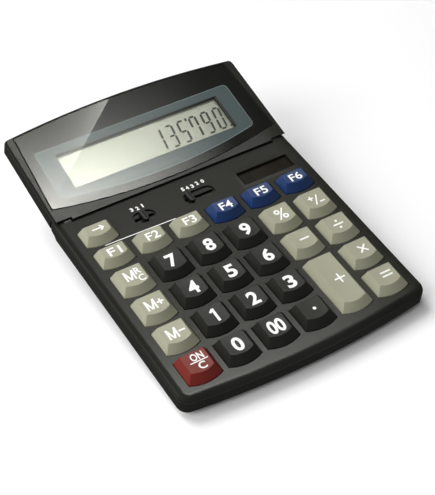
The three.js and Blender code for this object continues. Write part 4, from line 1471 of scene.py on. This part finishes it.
class CALCULATOR_OT_case(bpy.types.Operator):
    """Finishes both halves of the case, the battery cover and the feet"""

    bl_idname = "calculator.case"
    bl_label = "Case"

    def execute(self, context):
        finish_case()
        finish_feet()
        return {"FINISHED"}


class CALCULATOR_OT_keys(bpy.types.Operator):
    """Models the key caps"""

    bl_idname = "calculator.keys"
    bl_label = "Key caps"

    def execute(self, context):
        model_keys()
        return {"FINISHED"}


class CALCULATOR_OT_legends(bpy.types.Operator):
    """Prints the legends on the keys and the marks on the case"""

    bl_idname = "calculator.legends"
    bl_label = "Legends"

    def execute(self, context):
        print_legends()
        print_marks()
        print_line()
        return {"FINISHED"}


class CALCULATOR_OT_switches(bpy.types.Operator):
    """Finishes the slide switches"""

    bl_idname = "calculator.switches"
    bl_label = "Slide switches"

    def execute(self, context):
        finish_knobs()
        return {"FINISHED"}


class CALCULATOR_OT_solar(bpy.types.Operator):
    """Finishes the solar cell and its window"""

    bl_idname = "calculator.solar"
    bl_label = "Solar cell"

    def execute(self, context):
        finish_solar()
        return {"FINISHED"}


class CALCULATOR_OT_display(bpy.types.Operator):
    """Finishes the shells of the display and models its lens"""

    bl_idname = "calculator.display"
    bl_label = "Display"

    def execute(self, context):
        finish_display_shells()
        model_lens()
        return {"FINISHED"}


class CALCULATOR_OT_digits(bpy.types.Operator):
    """Finishes the liquid crystal glass and models its digits"""

    bl_idname = "calculator.digits"
    bl_label = "Digits"

    def execute(self, context):
        finish_glass()
        model_digits()
        return {"FINISHED"}


class CALCULATOR_OT_inside(bpy.types.Operator):
    """Gives the boards, the keypad sheet and the metal pieces their materials"""

    bl_idname = "calculator.inside"
    bl_label = "Inside"

    def execute(self, context):
        finish_inside()
        return {"FINISHED"}


OPERATORS = (
    CALCULATOR_OT_stage,
    CALCULATOR_OT_case,
    CALCULATOR_OT_keys,
    CALCULATOR_OT_legends,
    CALCULATOR_OT_switches,
    CALCULATOR_OT_solar,
    CALCULATOR_OT_display,
    CALCULATOR_OT_digits,
    CALCULATOR_OT_inside,
)


class CALCULATOR_PT_build(bpy.types.Panel):
    """Lists the steps and sizes of the calculator"""

    bl_label = "Calculator"
    bl_idname = "CALCULATOR_PT_build"
    bl_space_type = "VIEW_3D"
    bl_region_type = "UI"
    bl_category = "Calculator"

    def draw(self, context):
        for operator in OPERATORS:
            self.layout.operator(operator.bl_idname)
        for group in GROUPS:
            box = self.layout.box()
            values = getattr(context.scene, group)
            for name in values.__annotations__:
                box.prop(values, name)


def register():
    for each in (*GROUPS.values(), *OPERATORS, CALCULATOR_PT_build):
        bpy.utils.register_class(each)
    for name, group in GROUPS.items():
        setattr(bpy.types.Scene, name, bpy.props.PointerProperty(type=group))


def unregister():
    for name in GROUPS:
        delattr(bpy.types.Scene, name)
    for each in reversed((*GROUPS.values(), *OPERATORS, CALCULATOR_PT_build)):
        bpy.utils.unregister_class(each)


def main():
    register()
    for operator in OPERATORS:
        group, name = operator.bl_idname.split(".")
        getattr(getattr(bpy.ops, group), name)()


if __name__ == "__main__":
    main()
